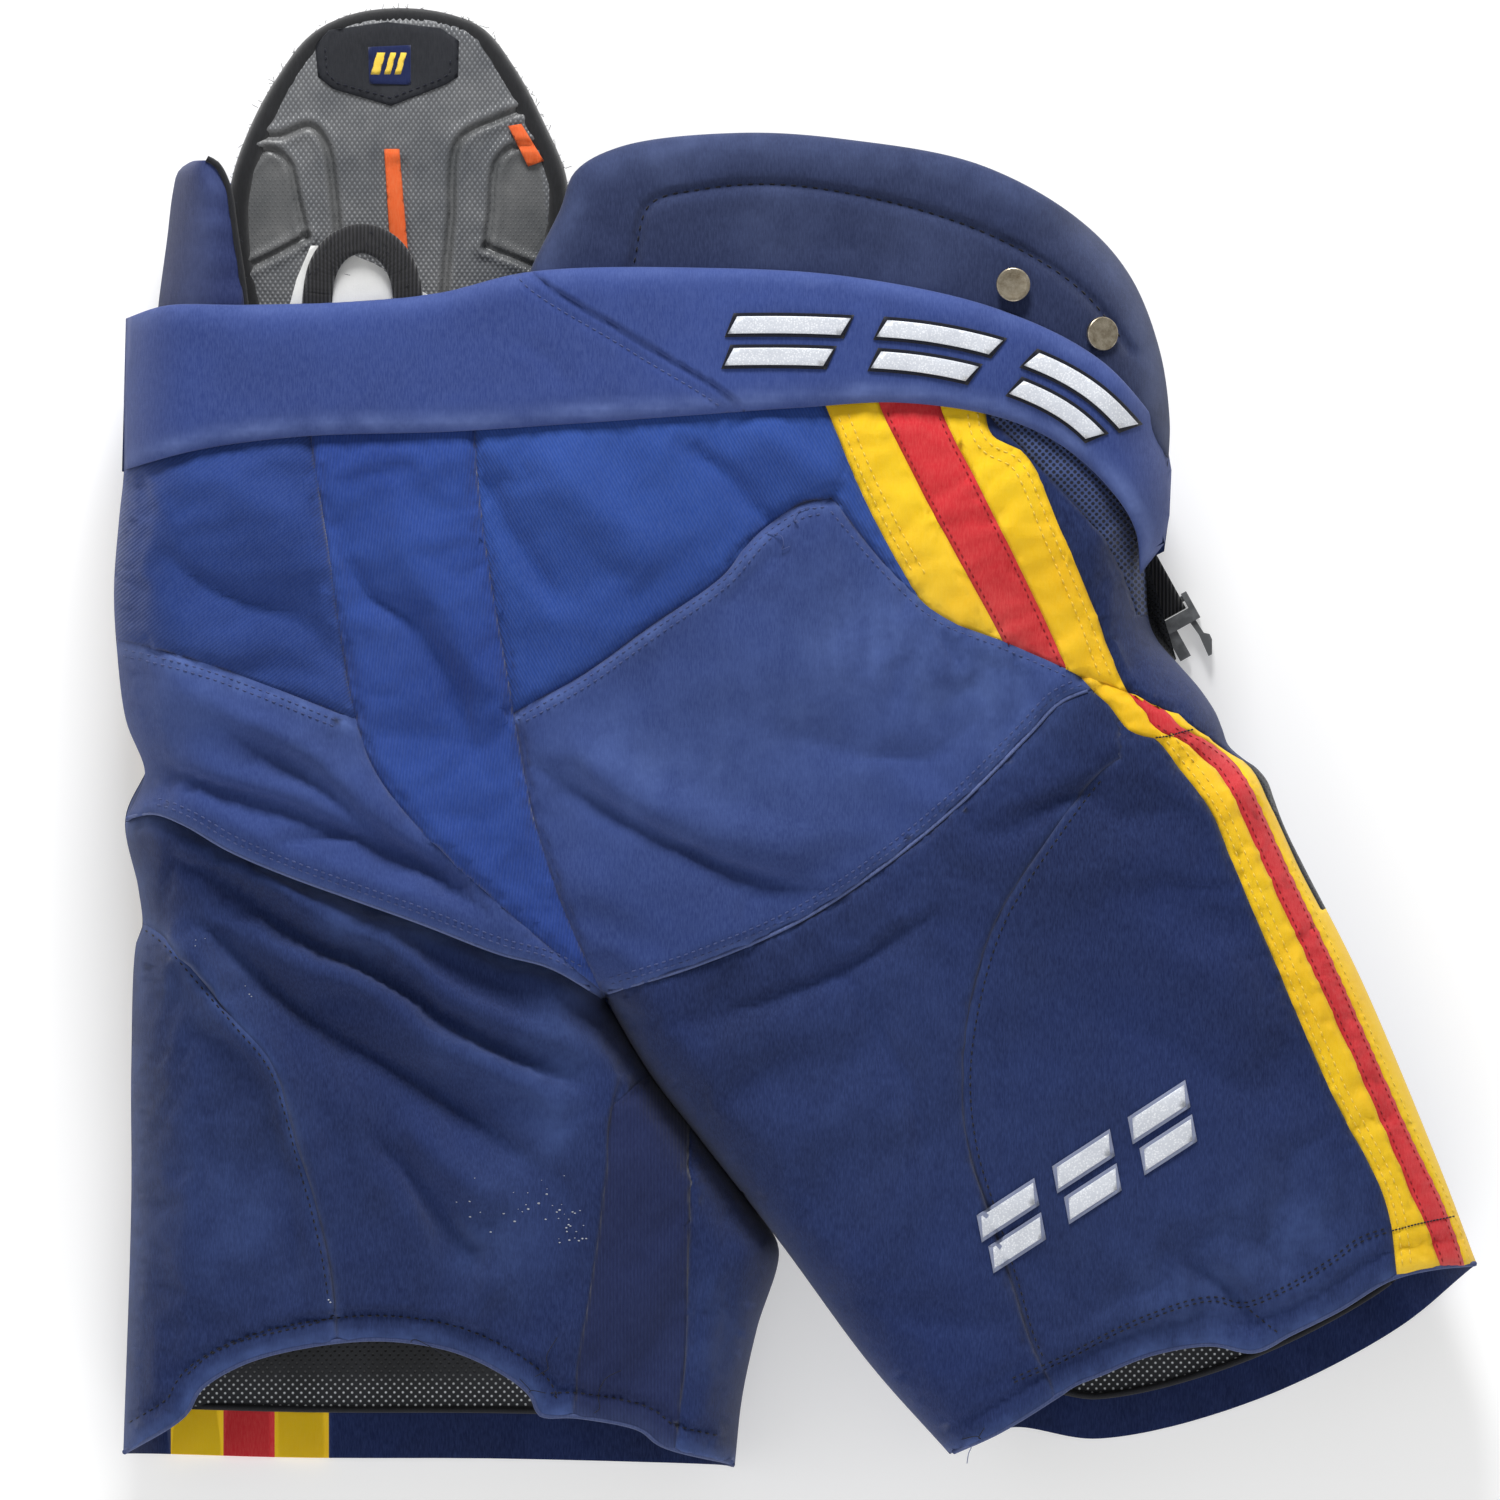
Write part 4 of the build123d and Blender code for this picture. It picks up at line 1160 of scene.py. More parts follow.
def main_wear(p):
    """Where the cloth is rubbed pale: seams, hems, the crown of the seat."""
    w = edges_worn(p, ((shifted(SEAT_RIGHT_TOP, -4), 3.5, 0.5), (shifted(SEAT_LOW, 2), 3, 0.4),
                       (SEAT_STRIPE, 4, 0.2), (shifted(HIP_LEFT, -4), 4, 0.5), (LEG_BACK, 2, 0.18),
                       (GUSSET_LEFT, 3, 0.12), (RIGHT_NEAR, 5, 0.6), (FOLD, 5, 0.4),
                       (RIGHT_INNER, 8, 0.15)))
    w += blotches(p, ((40, 50, 46, 0.34), (0, 2, 60, 0.2), (-60, -14, 40, 0.22), (86, 34, 36, 0.25),
                      (110, 12, 26, 0.25), (-100, -12, 30, 0.3), (-205, 50, 30, 0.12),
                      (150, -240, 80, 0.12), (20, -200, 70, 0.1), (-300, 22, 26, 0.3), (-235, -8, 24, 0.25),
                      (60, -130, 60, 0.1), (190, -285, 30, 0.3), (248, -252, 40, 0.4)))
    streaks = rough(np.column_stack([p[:, 0] / 5.0, p[:, 1] / 40.0]), 1.0, 2.0)
    return np.clip(0.8 * w * (0.75 + 0.3 * rough(p, 22.0, 5.0) + 0.35 * streaks), 0, 1)


MAIN_STYLE = {
    "seat_gusset": (KNIT, "royal_knit", "waist"),
    "hip_panel_left": (KNIT_SIDE_SHADED, "royal_knit", "waist"),
    "hip_panel_right": (KNIT_RIGHT_LIT, "royal_knit", "waist"),
    "seat_panel_left": (SEAT, "navy_nylon", "waist"),
    "seat_panel_right": (SEAT, "navy_nylon", "waist"),
    "side_panel_right": (NYLON, "royal_knit", "right_leg"),
    "side_mesh": (LINER, "air_mesh", "right_leg"),
    "vent_panel_right": (VENT, "air_mesh", "waist"),
    "stripe_upper_right": (YELLOW, "stripe", "waist"),
    "stripe_upper_red": (RED, "stripe", "waist"),
    "right_red": (RED, "stripe", "right_leg"),
    "right_stripe": (YELLOW, "stripe", "right_leg"),
    "right_back_inner": (NYLON, "navy_nylon", "right_leg"),
    "right_back_outer": (NYLON, "navy_nylon", "right_leg"),
}

verts, faces = sheet_faces(main_outline, MAIN_SEAMS, 38, seam_gap=2.0)
points = np.column_stack([verts, main_height(verts)])
wear = main_wear(verts)
pins = np.maximum(1 - fade(away(verts, closed(main_outline)), 4, 22), fade(under_belt(verts), 0.3, 0.9))
for line in (SEAT_LOW, GUSSET_LEFT, GUSSET_RIGHT, STRIPE_LOW_LEFT, STRIPE_TOP_LEFT, STRIPE_TOP_RIGHT):
    pins = np.maximum(pins, 0.5 * bell(away(verts, line), 5))
points = relax(points, faces, pins, 0.018, 1.5, 5.0)
main_ground = Ground(points, faces)
owner = main_owner(verts[faces].mean(1))
panels(verts, faces, points, [(name, owner == i, *MAIN_STYLE[name],
                               [name] + (["right_yoke"] if name == "right_back_inner" else []))
                              for i, name in enumerate(MAIN_NAMES)], UPPER_THICK, wear=wear)

# ---- upper side: left leg ------------------------------------------------------------------------
LEFT_ROOT = [(-96, -122), (-123.5, -104), (-183.5, -82), (-238.5, -60), (-283.5, -42), (-318, -24)]
left_outline = ring(LEFT_LEG_EDGE, LEFT_NEAR, LEFT_INNER, LEFT_ROOT)
LEFT_FOLDS = [
    ([(-334, -50), (-310, -52), (-284, -58), (-264.5, -70), (-243, -85), (-219, -98), (-195, -112),
      (-174, -128), (-150, -140), (-123, -151), (-100, -159), (-78, -166)], 9, 10.0),
    ([(-327, -54), (-303, -64), (-284, -73), (-264.5, -88), (-243, -102), (-219, -113), (-195, -127),
      (-171, -142), (-147, -156), (-111, -174), (-90, -182)], 8, -11.0),
    ([(-291, -86), (-264.5, -103), (-243, -115), (-219, -125), (-200, -137), (-183, -151), (-159, -162),
      (-135, -174), (-111, -186), (-92, -198)], 10, 9.0),
    ([(-320, -75), (-296, -94), (-274, -113), (-255, -130), (-231, -148), (-207, -161), (-183, -175),
      (-159, -192), (-135, -211), (-108, -230)], 11, -13.0),
    ([(-331, -72), (-324, -88), (-303, -108), (-293, -120), (-284, -137), (-269, -154), (-257, -171),
      (-246, -196), (-237, -222), (-230, -250)], 9, 9.0),
    ([(-255, -149), (-236, -173), (-217, -197), (-202, -221), (-190, -245), (-183, -272)], 12, 6.5),
    ([(-224, -184), (-210, -202), (-195, -216), (-182, -232), (-168, -252), (-148, -274)], 10, -9.0),
    ([(-202, -184), (-183, -204), (-164, -221), (-138, -238)], 9, 7.0),
    ([(-130, -206), (-114, -232), (-112, -300)], 9, -3.5),
    ([(-312, -150), (-306, -220), (-300, -296)], 20, 5.0),
    ([(-270, -180), (-256, -230), (-250, -290)], 12, -3.5),
    ([(-150, -262), (-160, -284), (-176, -292)], 8, 3.0),
    ([(-124, -262), (-118, -290), (-126, -306)], 7, -2.4),
    ([(-80, -190), (-74, -240), (-80, -320)], 14, 3.0),
    ([(-44, -210), (-34, -260), (-40, -330)], 8, -2.4),
]


def left_height(p):
    """The left leg's upper side with its folds, creases and seams."""
    z = rounded(left_top(p), p, ((LEFT_LEG_EDGE, 36, 50), (LEFT_INNER, 32, 40)))
    d = away(p, closed(left_outline))
    loose = fade(d, 0, 12)
    z += fold_field(p, LEFT_FOLDS) * loose
    z += (1.0 * rough(p, 40.0, 12.1) + 0.45 * rough(p, 15.0, 4.7)) * loose
    z += grooves(p, [(LEFT_OUTER, 3, 2.2), (KNIT_LEFT, 2.4, 1.2), (KNIT_END, 2.4, 1.2),
                     (KNIT_HEAD[4:], 5, 2.5)])
    above = p[:, 1] - np.interp(p[:, 0], FOLD[:, 0], FOLD[:, 1])
    z = z - 9 * fade(above, -9, 3)
    return z - hem_roll(away(p, LEFT_NEAR))


def left_wear(p):
    """Where the left leg is rubbed pale."""
    w = edges_worn(p, ((LEFT_NEAR, 6, 0.65), (LEFT_OUTER, 3, 0.3), (LEFT_LEG_EDGE, 7, 0.35), (FOLD, 6, 0.5)))
    w += blotches(p, ((-150, -245, 36, 0.25), (-128, -190, 22, 0.3), (-285, -230, 60, 0.2),
                      (-290, -120, 30, 0.25), (-215, -95, 26, 0.3), (-120, -150, 24, 0.3),
                      (-165, -160, 26, 0.2), (-40, -300, 30, 0.2)))
    return np.clip(w * (0.8 + 0.5 * rough(p, 22.0, 6.0)), 0, 1)


verts_l, faces_l = sheet_faces(left_outline, [LEFT_OUTER, KNIT_LEFT, KNIT_END, KNIT_HEAD], 34, seam_gap=2.0)
points_l = np.column_stack([verts_l, left_height(verts_l)])
wear_l = left_wear(verts_l)
pins = 1 - fade(away(verts_l, closed(left_outline)), 4, 20)
points_l = relax(points_l, faces_l, pins, 0.022, 1.5, 5.0)
left_ground = Ground(points_l, faces_l)
centre = verts_l[faces_l].mean(1)
in_outer = inside(centre, ring(LEFT_OUTER, [(-233, -420), (-500, -420), (-500, -84)]))
in_knit = (inside(centre, ring(KNIT_LEFT, KNIT_END[::-1]))
           & inside(centre, ring(KNIT_HEAD, [(-20, -420), (-200, -420)])))
right_part = inside(centre, ring(KNIT_END, [(100, -420), (100, -100)]))
in_middle = ~right_part & ~in_knit & ~in_outer
panels(verts_l, faces_l, points_l, [
    ("left_back_outer", in_outer, NYLON, "navy_nylon", "left_leg", ["left_back_outer"]),
    ("left_knit_strip", in_knit & ~in_outer, KNIT_DARK, "royal_knit", "left_leg", ["left_knit_strip"]),
    ("left_back_inner", right_part & ~in_knit & ~in_outer, NYLON, "navy_nylon", "left_leg",
     ["left_back_inner"]),
    ("left_back_middle", in_middle, NYLON, "navy_nylon", "left_leg", ["left_back_middle", "left_yoke"]),
], UPPER_THICK, wear=wear_l)

# ---- under side ----------------------------------------------------------------------------------
FLY_X = 50.0
under_outline = ring(LEFT_EDGE, FOLD[FOLD_START:], RIGHT_INNER[::-1], RIGHT_FAR[::-1], RIGHT_EDGE[::-1],
                     FRONT_TOP[::-1])
under_left_outline = ring(LEFT_LEG_EDGE, LEFT_FAR, LEFT_INNER, LEFT_ROOT)
FLY = np.array([(FLY_X, 300.0), (FLY_X, -75.0)])
ROOT_SEAM = smooth([(-98, -133), (50, -62), (205, 12), (240, 28)])
# Where the left stripe starts, its red starts and ends, and the stripe ends.
STRIPE_X = (-314.5, -287.5, -262.0, -235.0)
STRIPE_LINES = [np.array([(x, 300.0), (x, -420.0)]) for x in STRIPE_X]
UNDER_THICK = 1.3


def under_zones(x):
    """Masks of the side, the yellow, the red and what lies inwards of the stripe."""
    start, red_start, red_end, end = STRIPE_X
    in_stripe, red = (x > start) & (x < end), (x > red_start) & (x < red_end)
    return x < start, in_stripe & ~red, in_stripe & red, x > end


def under_height(p, edges):
    """Height of the side that lies down, which rises at the hems in ripples."""
    z = 1.9 + 4.6 * fade(p[:, 1], -60, 80) + 0.35 * rough(p, 40.0, 2.2)
    for hem in (RIGHT_FAR, LEFT_FAR):
        d, along = to_line(p, hem)
        z += 0.8 * (0.7 + np.sin(along / 4.4 + 1.6 * np.sin(along / 23))) * fade(d, 30, 4)
    return rounded(z, p, edges)


UNDER_EDGES = ((LEFT_EDGE, 50, 66), (RIGHT_EDGE, 50, 62), (RIGHT_INNER, 44, 72))
UNDER_LEFT_EDGES = ((LEFT_LEG_EDGE, 40, 50), (LEFT_INNER, 38, 40))
verts_u, faces_u = sheet_faces(under_outline, [FLY, ROOT_SEAM] + STRIPE_LINES, 44, GRID * 1.5)
z_u = under_height(verts_u, UNDER_EDGES) - grooves(verts_u, [(line, 3, 1.2) for line in (FLY, ROOT_SEAM)])
centre = verts_u[faces_u].mean(1)
in_leg = ((centre - ROOT_RIGHT[0]) @ ROOT_RIGHT_N > 0) & (centre[:, 0] > -100)
side, stripe, red, inner = under_zones(centre[:, 0])
panels(verts_u, faces_u, np.column_stack([verts_u, z_u]), [
    ("right_front", in_leg, NYLON, "navy_nylon", "right_leg", ["right_front"]),
    ("front_panel_right", ~in_leg & (centre[:, 0] > FLY_X), NYLON, "navy_nylon", "waist",
     ["front_panel_right"]),
    ("stripe_upper_left", ~in_leg & stripe, YELLOW, "stripe", "waist", ["stripe_upper_left"]),
    ("stripe_upper_left_red", ~in_leg & red, RED, "stripe", "waist", []),
    ("side_left", ~in_leg & side, NYLON, "navy_nylon", "waist", []),
    ("front_panel_left", ~in_leg & inner & (centre[:, 0] <= FLY_X), NYLON, "navy_nylon", "waist",
     ["front_panel_left"]),
], UNDER_THICK, flip=True)

verts_v, faces_v = sheet_faces(under_left_outline, STRIPE_LINES, 34, GRID * 1.5)
z_v = under_height(verts_v, UNDER_LEFT_EDGES)
side, stripe, red, inner = under_zones(verts_v[faces_v].mean(1)[:, 0])
panels(verts_v, faces_v, np.column_stack([verts_v, z_v]), [
    ("left_stripe", stripe, YELLOW, "stripe", "left_leg", ["left_stripe"]),
    ("left_stripe_red", red, RED, "stripe", "left_leg", []),
    ("left_side", side, NYLON, "navy_nylon", "left_leg", []),
    ("left_front", inner, NYLON, "navy_nylon", "left_leg", ["left_front"]),
], UNDER_THICK, flip=True)

# ---- linings, guards and pads inside -------------------------------------------------------------
LINER_GAP = 24.0
LEG_MID_Z, WAIST_MID_Z = 56, 62     # where the back and the front lining meet


def liner(name, sides, near, far, upper_fn, lower_fn, body, nodes, top_end):
    """A lining tube: its sides close on themselves, and it is open at the hem and at the waist."""
    left, right = sides
    for half, hem in (("back", near), ("front", far)):
        outline = ring(left, hem, right, top_end)
        flat, tri = sheet_faces(outline, [], 30, 9.0 if half == "front" else 12.0)
        d = np.minimum(away(flat, left), away(flat, right))
        if half == "back":
            z = LEG_MID_Z + (upper_fn(flat) - LINER_GAP - LEG_MID_Z) * dome(d, 34)
        else:
            z = LEG_MID_Z - (LEG_MID_Z - lower_fn(flat) - 5) * dome(d, 40)
        # The front half gets, as its wear attribute, a band by the far hem where its mesh holes show white;
        # further into the leg they are painted dark as painted shade.
        build(f"v_{name}_{half}", np.column_stack([flat, z]), tri if half == "back" else tri[:, ::-1],
              LINER if half == "back" else LINER_LIT, "lining_mesh", body, nodes if half == "back" else (),
              fade(away(flat, far), 22, 12) * fade(away(flat, far), 1, 3), thick=0.8)


def flat_under(p):
    """Height of the lying side away from its edges."""
    return 2.5 + 5.0 * fade(p[:, 1], -60, 80)


def leg_floor(far_line):
    """Height of the far lining: flat beside its hem band and rising into the leg."""
    return lambda p: 2.0 + 14.0 * fade(away(p, far_line), 20, 70)


right_left_side = shifted(trimmed(RIGHT_INNER[::-1], 8, 24), 6)
right_right_side = shifted(trimmed(RIGHT_EDGE[::-1], 12, 60), 7)
near_in = shifted(trimmed(RIGHT_NEAR, 14, 14), -5)
far_in = shifted(trimmed(RIGHT_FAR, 22, 22), -20)
far_black = {"right": trimmed(shifted(far_in, -1.5), 16, 16)}
liner("right_lining", (right_left_side, right_right_side), near_in[::-1], far_in[::-1], main_base,
      leg_floor(RIGHT_FAR), "right_leg", ["right_lining", "right_thigh_foam"], [(180, -30), (-60, -120)])
left_left_side = shifted(trimmed(LEFT_LEG_EDGE, 60, 14), 7)
left_right_side = shifted(trimmed(LEFT_INNER, 14, 30), 7)
near_in = shifted(trimmed(LEFT_NEAR, 12, 12), 5)
far_in = shifted(trimmed(LEFT_FAR, 12, 12), 23)
far_black["left"] = trimmed(shifted(far_in, 1.5), 14, 22)
liner("left_lining", (left_left_side, left_right_side), near_in, far_in, left_top,
      leg_floor(LEFT_FAR), "left_leg", ["left_lining", "left_thigh_foam"], [(-110, -150), (-310, -90)])

waist_ring = ring([(-322, 196), (-326, 120), (-328, 60), (-318, 10), (-300, -20)],
                  [(-200, -60), (-100, -104)], [(0, -64), (140, 0)], [(190, 40), (172, 100), (170, 150)],
                  [(100, 200), (0, 216), (-150, 212)])
front_ring = ring([(-327, 112), (-328, 60), (-318, 10), (-300, -20)], [(-200, -60), (-100, -104)],
                  [(0, -64), (140, 0)], [(190, 40), (176, 84), (172, 112)])
for half, outline in (("back", waist_ring), ("front", front_ring)):
    flat, tri = sheet_faces(outline, [], 30, 14.0)
    d = np.minimum(np.abs(flat[:, 0] + 330), np.abs(184 - flat[:, 0] + 0.2 * flat[:, 1]))
    if half == "back":
        z = WAIST_MID_Z + (main_base(flat) - 14 - WAIST_MID_Z) * dome(d, 40)
    else:
        z = WAIST_MID_Z - (WAIST_MID_Z - flat_under(flat) - 9) * dome(d, 40)
    build(f"v_waist_lining_{half}", np.column_stack([flat, z]), tri if half == "back" else tri[:, ::-1],
          LINER, "lining_mesh", "waist", ["waist_lining", "hip_foams", "hip_caps", "tailbone_pad",
                                          "fly_flap"] if half == "back" else (), thick=1.0)

for side, outline, body, edges in (
    ("right", ring(shifted(right_left_side, 16), shifted(trimmed(RIGHT_FAR, 46, 46), -30)[::-1],
                   shifted(right_right_side, 16), [(150, -50), (-40, -140)]), "right_leg", UNDER_EDGES),
    ("left", ring(shifted(left_left_side, 16), shifted(trimmed(LEFT_FAR, 36, 36), 30),
                  shifted(left_right_side, 16), [(-120, -170), (-290, -110)]), "left_leg",
     UNDER_LEFT_EDGES),
):
    flat, tri = sheet_faces(outline, [], 20, 10.0)
    ribs_ = 1.2 * np.cos(flat @ (np.array([0.9, 0.44]) if side == "right" else np.array([1.0, 0.1])) / 9.0)
    z = under_height(flat, edges) + 3.2 + np.clip(ribs_, 0, 1)
    build(f"v_{side}_thigh_guard", np.column_stack([flat, z]), tri, BUCKLE, "guard_plastic", body,
          [f"{side}_thigh_guard"], thick=2.0)

PIPING_Z = 8.0
for side, line in far_black.items():
    p, f = sweep(np.column_stack([line, np.full(len(line), PIPING_Z)]), oval(3.4, 3.4, 8))
    build(f"v_{side}_hem_piping", p, f, BLACK_CLOTH, "black_fabric", f"{side}_leg")

# ---- waist band ----------------------------------------------------------------------------------
BELT_Z, FRONT_BELT_Z = 132.5, 4.2
belt_outline = ring(BAND_TOP, [(187.5, 134.5), (186.5, 112), (184, 98)], BAND_LOW[::-1], [(-337, 170)])
BELT_LEFT = np.array([(-336.0, 215.0), (-337.0, 170.0), (-338.0, 130.0)])
BELT_RIGHT = smooth([(192, 170), (186, 154), (188, 134), (187, 110), (178, 84)])
right_length = ring(BAND_JOIN, [(-20, 60), (300, 60), (300, 300), (-137, 300)])


def belt_base(p):
    """Middle of the belt's thickness over the back."""
    return rounded(np.full(len(p), BELT_Z), p, ((BELT_LEFT, 36, 66), (BELT_RIGHT, 40, 62)))


def belt_top(p, d):
    rim = np.minimum(away(p, BAND_TOP), away(p, BAND_LOW))
    z = belt_base(p) + 7.0 * dome(rim, 15) + 0.5 * rough(p, 30, 7.7) * fade(rim, 0, 10)
    d_join = away(p, BAND_JOIN)
    over = inside(p, right_length)
    z += np.where(over, 1.6 * fade(d_join, -0.4, 1.4), -1.0 * bell(d_join, 2.5))
    z -= 0.7 * bell(away(p, JOIN_STITCH), 1.6)
    return z + fold_field(p, [
        ([(-150, 205), (-120, 185), (-110, 165)], 5, -1.2),
        ([(-60, 222), (0, 224), (80, 208)], 6, -1.0),
        ([(-300, 200), (-240, 196), (-190, 205)], 14, 0.8),
        ([(60, 178), (120, 160), (150, 130)], 9, -0.9),
    ])


def belt_bottom(p, d):
    rim = np.minimum(away(p, BAND_TOP), away(p, BAND_LOW))
    return belt_base(p) - 1.5 * dome(rim, 6)


JOIN_STITCH = shifted(BAND_JOIN, -7.0)
pts, upper, lower, flat = slab(belt_outline, belt_top, belt_bottom, GRID, 14, [BAND_JOIN, JOIN_STITCH], 1.6)
# Pale bands just inside the lower and the upper rim, where the band rolls over: rubbed wear and a painted
# highlight on the roll.
belt_wear_and_highlight = np.zeros(len(pts))
low_d = away(flat, shifted(BAND_LOW, 5))
high_d = away(flat, shifted(BAND_TOP, -3))
belt_wear_and_highlight[:len(flat)] = np.clip((0.62 * bell(low_d, 4.5) + 0.2 * bell(high_d, 4))
                                * (0.8 + 0.5 * rough(flat, 20, 3.3)), 0, 1)
belt_ground = Ground(pts, upper)
over = inside(flat[upper].mean(1), right_length)
over_low = inside(np.array([pts[f][:, :2].mean(0) for f in lower]), right_length)
for name, up, down, nodes in (("waist_band_left", upper[~over], lower[~over_low], ["waist_band_left"]),
                              ("waist_band_right", upper[over], lower[over_low], ["waist_band_right"])):
    used, local = part_of(pts, np.concatenate([up, down]))
    obj = build(f"v_{name}", pts[used], local, BAND_CLOTH, "waist_band", "waist", nodes, belt_wear_and_highlight[used])

front_outline = ring(FRONT_TOP, [(187.5, 134.5), (186.5, 112), (184, 94)], FRONT_LOW[::-1], [(-337, 170)])


def front_base(p):
    """Middle of the belt's thickness on the side that lies down."""
    return rounded(np.full(len(p), FRONT_BELT_Z), p, ((BELT_LEFT, 40, 66), (BELT_RIGHT, 44, 62)))


pts, upper, lower, flat = slab(
    front_outline, lambda p, d: front_base(p) + 3.0,
    lambda p, d: front_base(p) - 3.4 * dome(np.minimum(away(p, FRONT_TOP), away(p, FRONT_LOW)), 12),
    GRID * 1.8, 14)
obj = build("v_waist_band_front", pts, np.concatenate([upper, lower]), BAND_CLOTH, "waist_band", "waist")

# ---- kidney pads ---------------------------------------------------------------------------------
kidney_outline = ring(KIDNEY_RIGHT, [(184, 128), (178, 118)], KIDNEY_RIGHT_LOW)
KIDNEY_EDGE = smooth([(150, 262), (170, 236), (185, 198), (190, 160), (188, 120)])
KIDNEY_EDGE_Z, KIDNEY_Z = 66, 124.5


def kidney_mid(p):
    """Height of the pad's middle, which curls down towards its free edge."""
    d = away(p, KIDNEY_EDGE)
    return KIDNEY_EDGE_Z + (KIDNEY_Z - KIDNEY_EDGE_Z) * dome(d, 46)


def kidney_top(p, d):
    z = kidney_mid(p) + 7.6 * dome(d, 11)
    seam = away(p, KIDNEY_STITCH)
    z -= 3.6 * bell(seam, 2.8)
    z += 0.5 * rough(p, 26, 1.7) * fade(d, 0, 9)
    puckers = [
        ([(-60, 300), (-66, 284), (-74, 268)], 3.5, -1.4),
        ([(-80, 294), (-80, 280), (-78, 262)], 3.5, -1.2),
        ([(-44, 300), (-50, 286), (-54, 276)], 3, -1.1),
        ([(-112, 262), (-98, 256), (-82, 248)], 3.5, -1.0),
        ([(40, 296), (36, 284), (30, 274)], 4, -0.9),
        ([(110, 276), (100, 262), (90, 254)], 4, -0.9),
        ([(-40, 240), (20, 246), (80, 230)], 12, -1.4),
    ]
    return z + fold_field(p, puckers) * fade(d, 0, 5)


def kidney_bottom(p, d):
    return kidney_mid(p) - 6.0 * dome(d, 9)


pts, upper, lower, flat = slab(kidney_outline, kidney_top, kidney_bottom, GRID, 11, [KIDNEY_STITCH], 2.0)
kidney_wear_and_highlight = np.zeros(len(pts))
# Paler along the puffy outer rim, so that the pad is darker towards the belt: painted highlight on the rim as
# well as rubbed wear; the round spots are rubbed wear.
rim = away(flat, shifted(KIDNEY_RIGHT, -7))
spots = blotches(flat, ((-10, 258, 22, 0.3), (60, 246, 30, 0.2), (-60, 288, 20, 0.2)))
kidney_wear_and_highlight[:len(flat)] = np.clip(0.32 * bell(rim, 8) + spots, 0, 1)
kidney_wear_and_highlight[:len(flat)] *= 0.8 + 0.5 * rough(flat, 18, 8.3)
kidney_ground = Ground(pts, upper)
obj = build("v_kidney_pad_right", pts, np.concatenate([upper, lower]), KIDNEY_CLOTH, "black_fabric",
            "right_kidney", ["kidney_pad_right"], kidney_wear_and_highlight)


def kidney_left_pad():
    """The pad that wraps round the left fold, from the back to the front."""
    right = smooth([(-275, 203), (-276, 219.5), (-281, 254.5), (-284.5, 276), (-290, 287), (-295, 290)], 2)
    left = smooth([(-314, 203), (-312.5, 219.5), (-308.5, 249.5), (-305.5, 274), (-302.5, 286),
                   (-299, 290)], 2)
    front = smooth([(-208, 203), (-214, 224), (-248, 258), (-280, 276), (-297, 289)], 2)
    rows = np.concatenate([np.arange(203, 280, 4.0), np.array([281, 284, 286.5, 288.3, 289.2])])
    points, faces, wear_ = [], [], []
    for y in rows:
        xr, xl = np.interp(y, right[:, 1], right[:, 0]), np.interp(y, left[:, 1], left[:, 0])
        xf = np.interp(y, front[:, 1], front[:, 0])
        bend = min(34.0, max(3.0, (xr - xl)))
        path = [(xr + (xl + bend - xr) * k / 5, 126.0) for k in range(5)]
        path += [(xl + bend - bend * math.sin(a), 66 + 60 * math.cos(a)) for a in np.linspace(0, math.pi, 17)]
        low_end = max(xf, xl + bend + 1)
        path += [(xl + bend + (low_end - xl - bend) * k / 7, 6.0 + 5.5) for k in range(1, 8)]
        path = np.array([(x, max(z, 11.5)) for x, z in path])
        t = unit(np.gradient(path, axis=0))
        normal = np.stack([t[:, 1], -t[:, 0]], 1)
        normal *= np.where((path - np.array([xl + bend, 66]))[:, :1] * normal[:, :1]
                           + (path - np.array([xl + bend, 66]))[:, 1:] * normal[:, 1:] > 0, 1, -1)
        seg = lengths(path)
        ends = dome(np.minimum(seg, seg[-1] - seg), 9)
        half = 7.0 * ends * dome(np.array([290 - y]), 9)[0]
        out = path + normal * half[:, None]
        back = path - normal * half[:, None]
        loop = np.concatenate([out, back[::-1][1:-1]])
        base = len(points)
        n = len(loop)
        wrinkle = 0.9 * math.sin(y * 0.35) * bell(loop[:, 0] - xr, 16)
        points += [(x, y, max(z + w, 0.6)) for (x, z), w in zip(loop, wrinkle)]
        wear_ += list(0.35 * bell(loop[:, 0] - (xl + 12), 9))
        if base:
            faces += [(base - n + k, base + k, base + (k + 1) % n, base - n + (k + 1) % n) for k in range(n)]
    faces.append(tuple(range(n)))
    faces.append(tuple(range(len(points) - n, len(points)))[::-1])
    return points, faces, np.array(wear_), right


pts, fcs, kidney_wear_and_highlight, left_pad_edge = kidney_left_pad()
obj = build("v_kidney_pad_left", pts, fcs, LEFT_PAD, "black_fabric", "left_kidney", ["kidney_pad_left"],
            kidney_wear_and_highlight)
edge3 = np.column_stack([left_pad_edge, np.full(len(left_pad_edge), 125.5)])
p, f = sweep(edge3, oval(3.4, 7.0, 8))
build("v_kidney_left_binding", p, f, BLACK_CLOTH, "black_fabric", "left_kidney")
fuzz("v_kidney_left_fray", edge3, DARK_THREAD, "black_fabric", "left_kidney", 90, 3.0, 0.9)

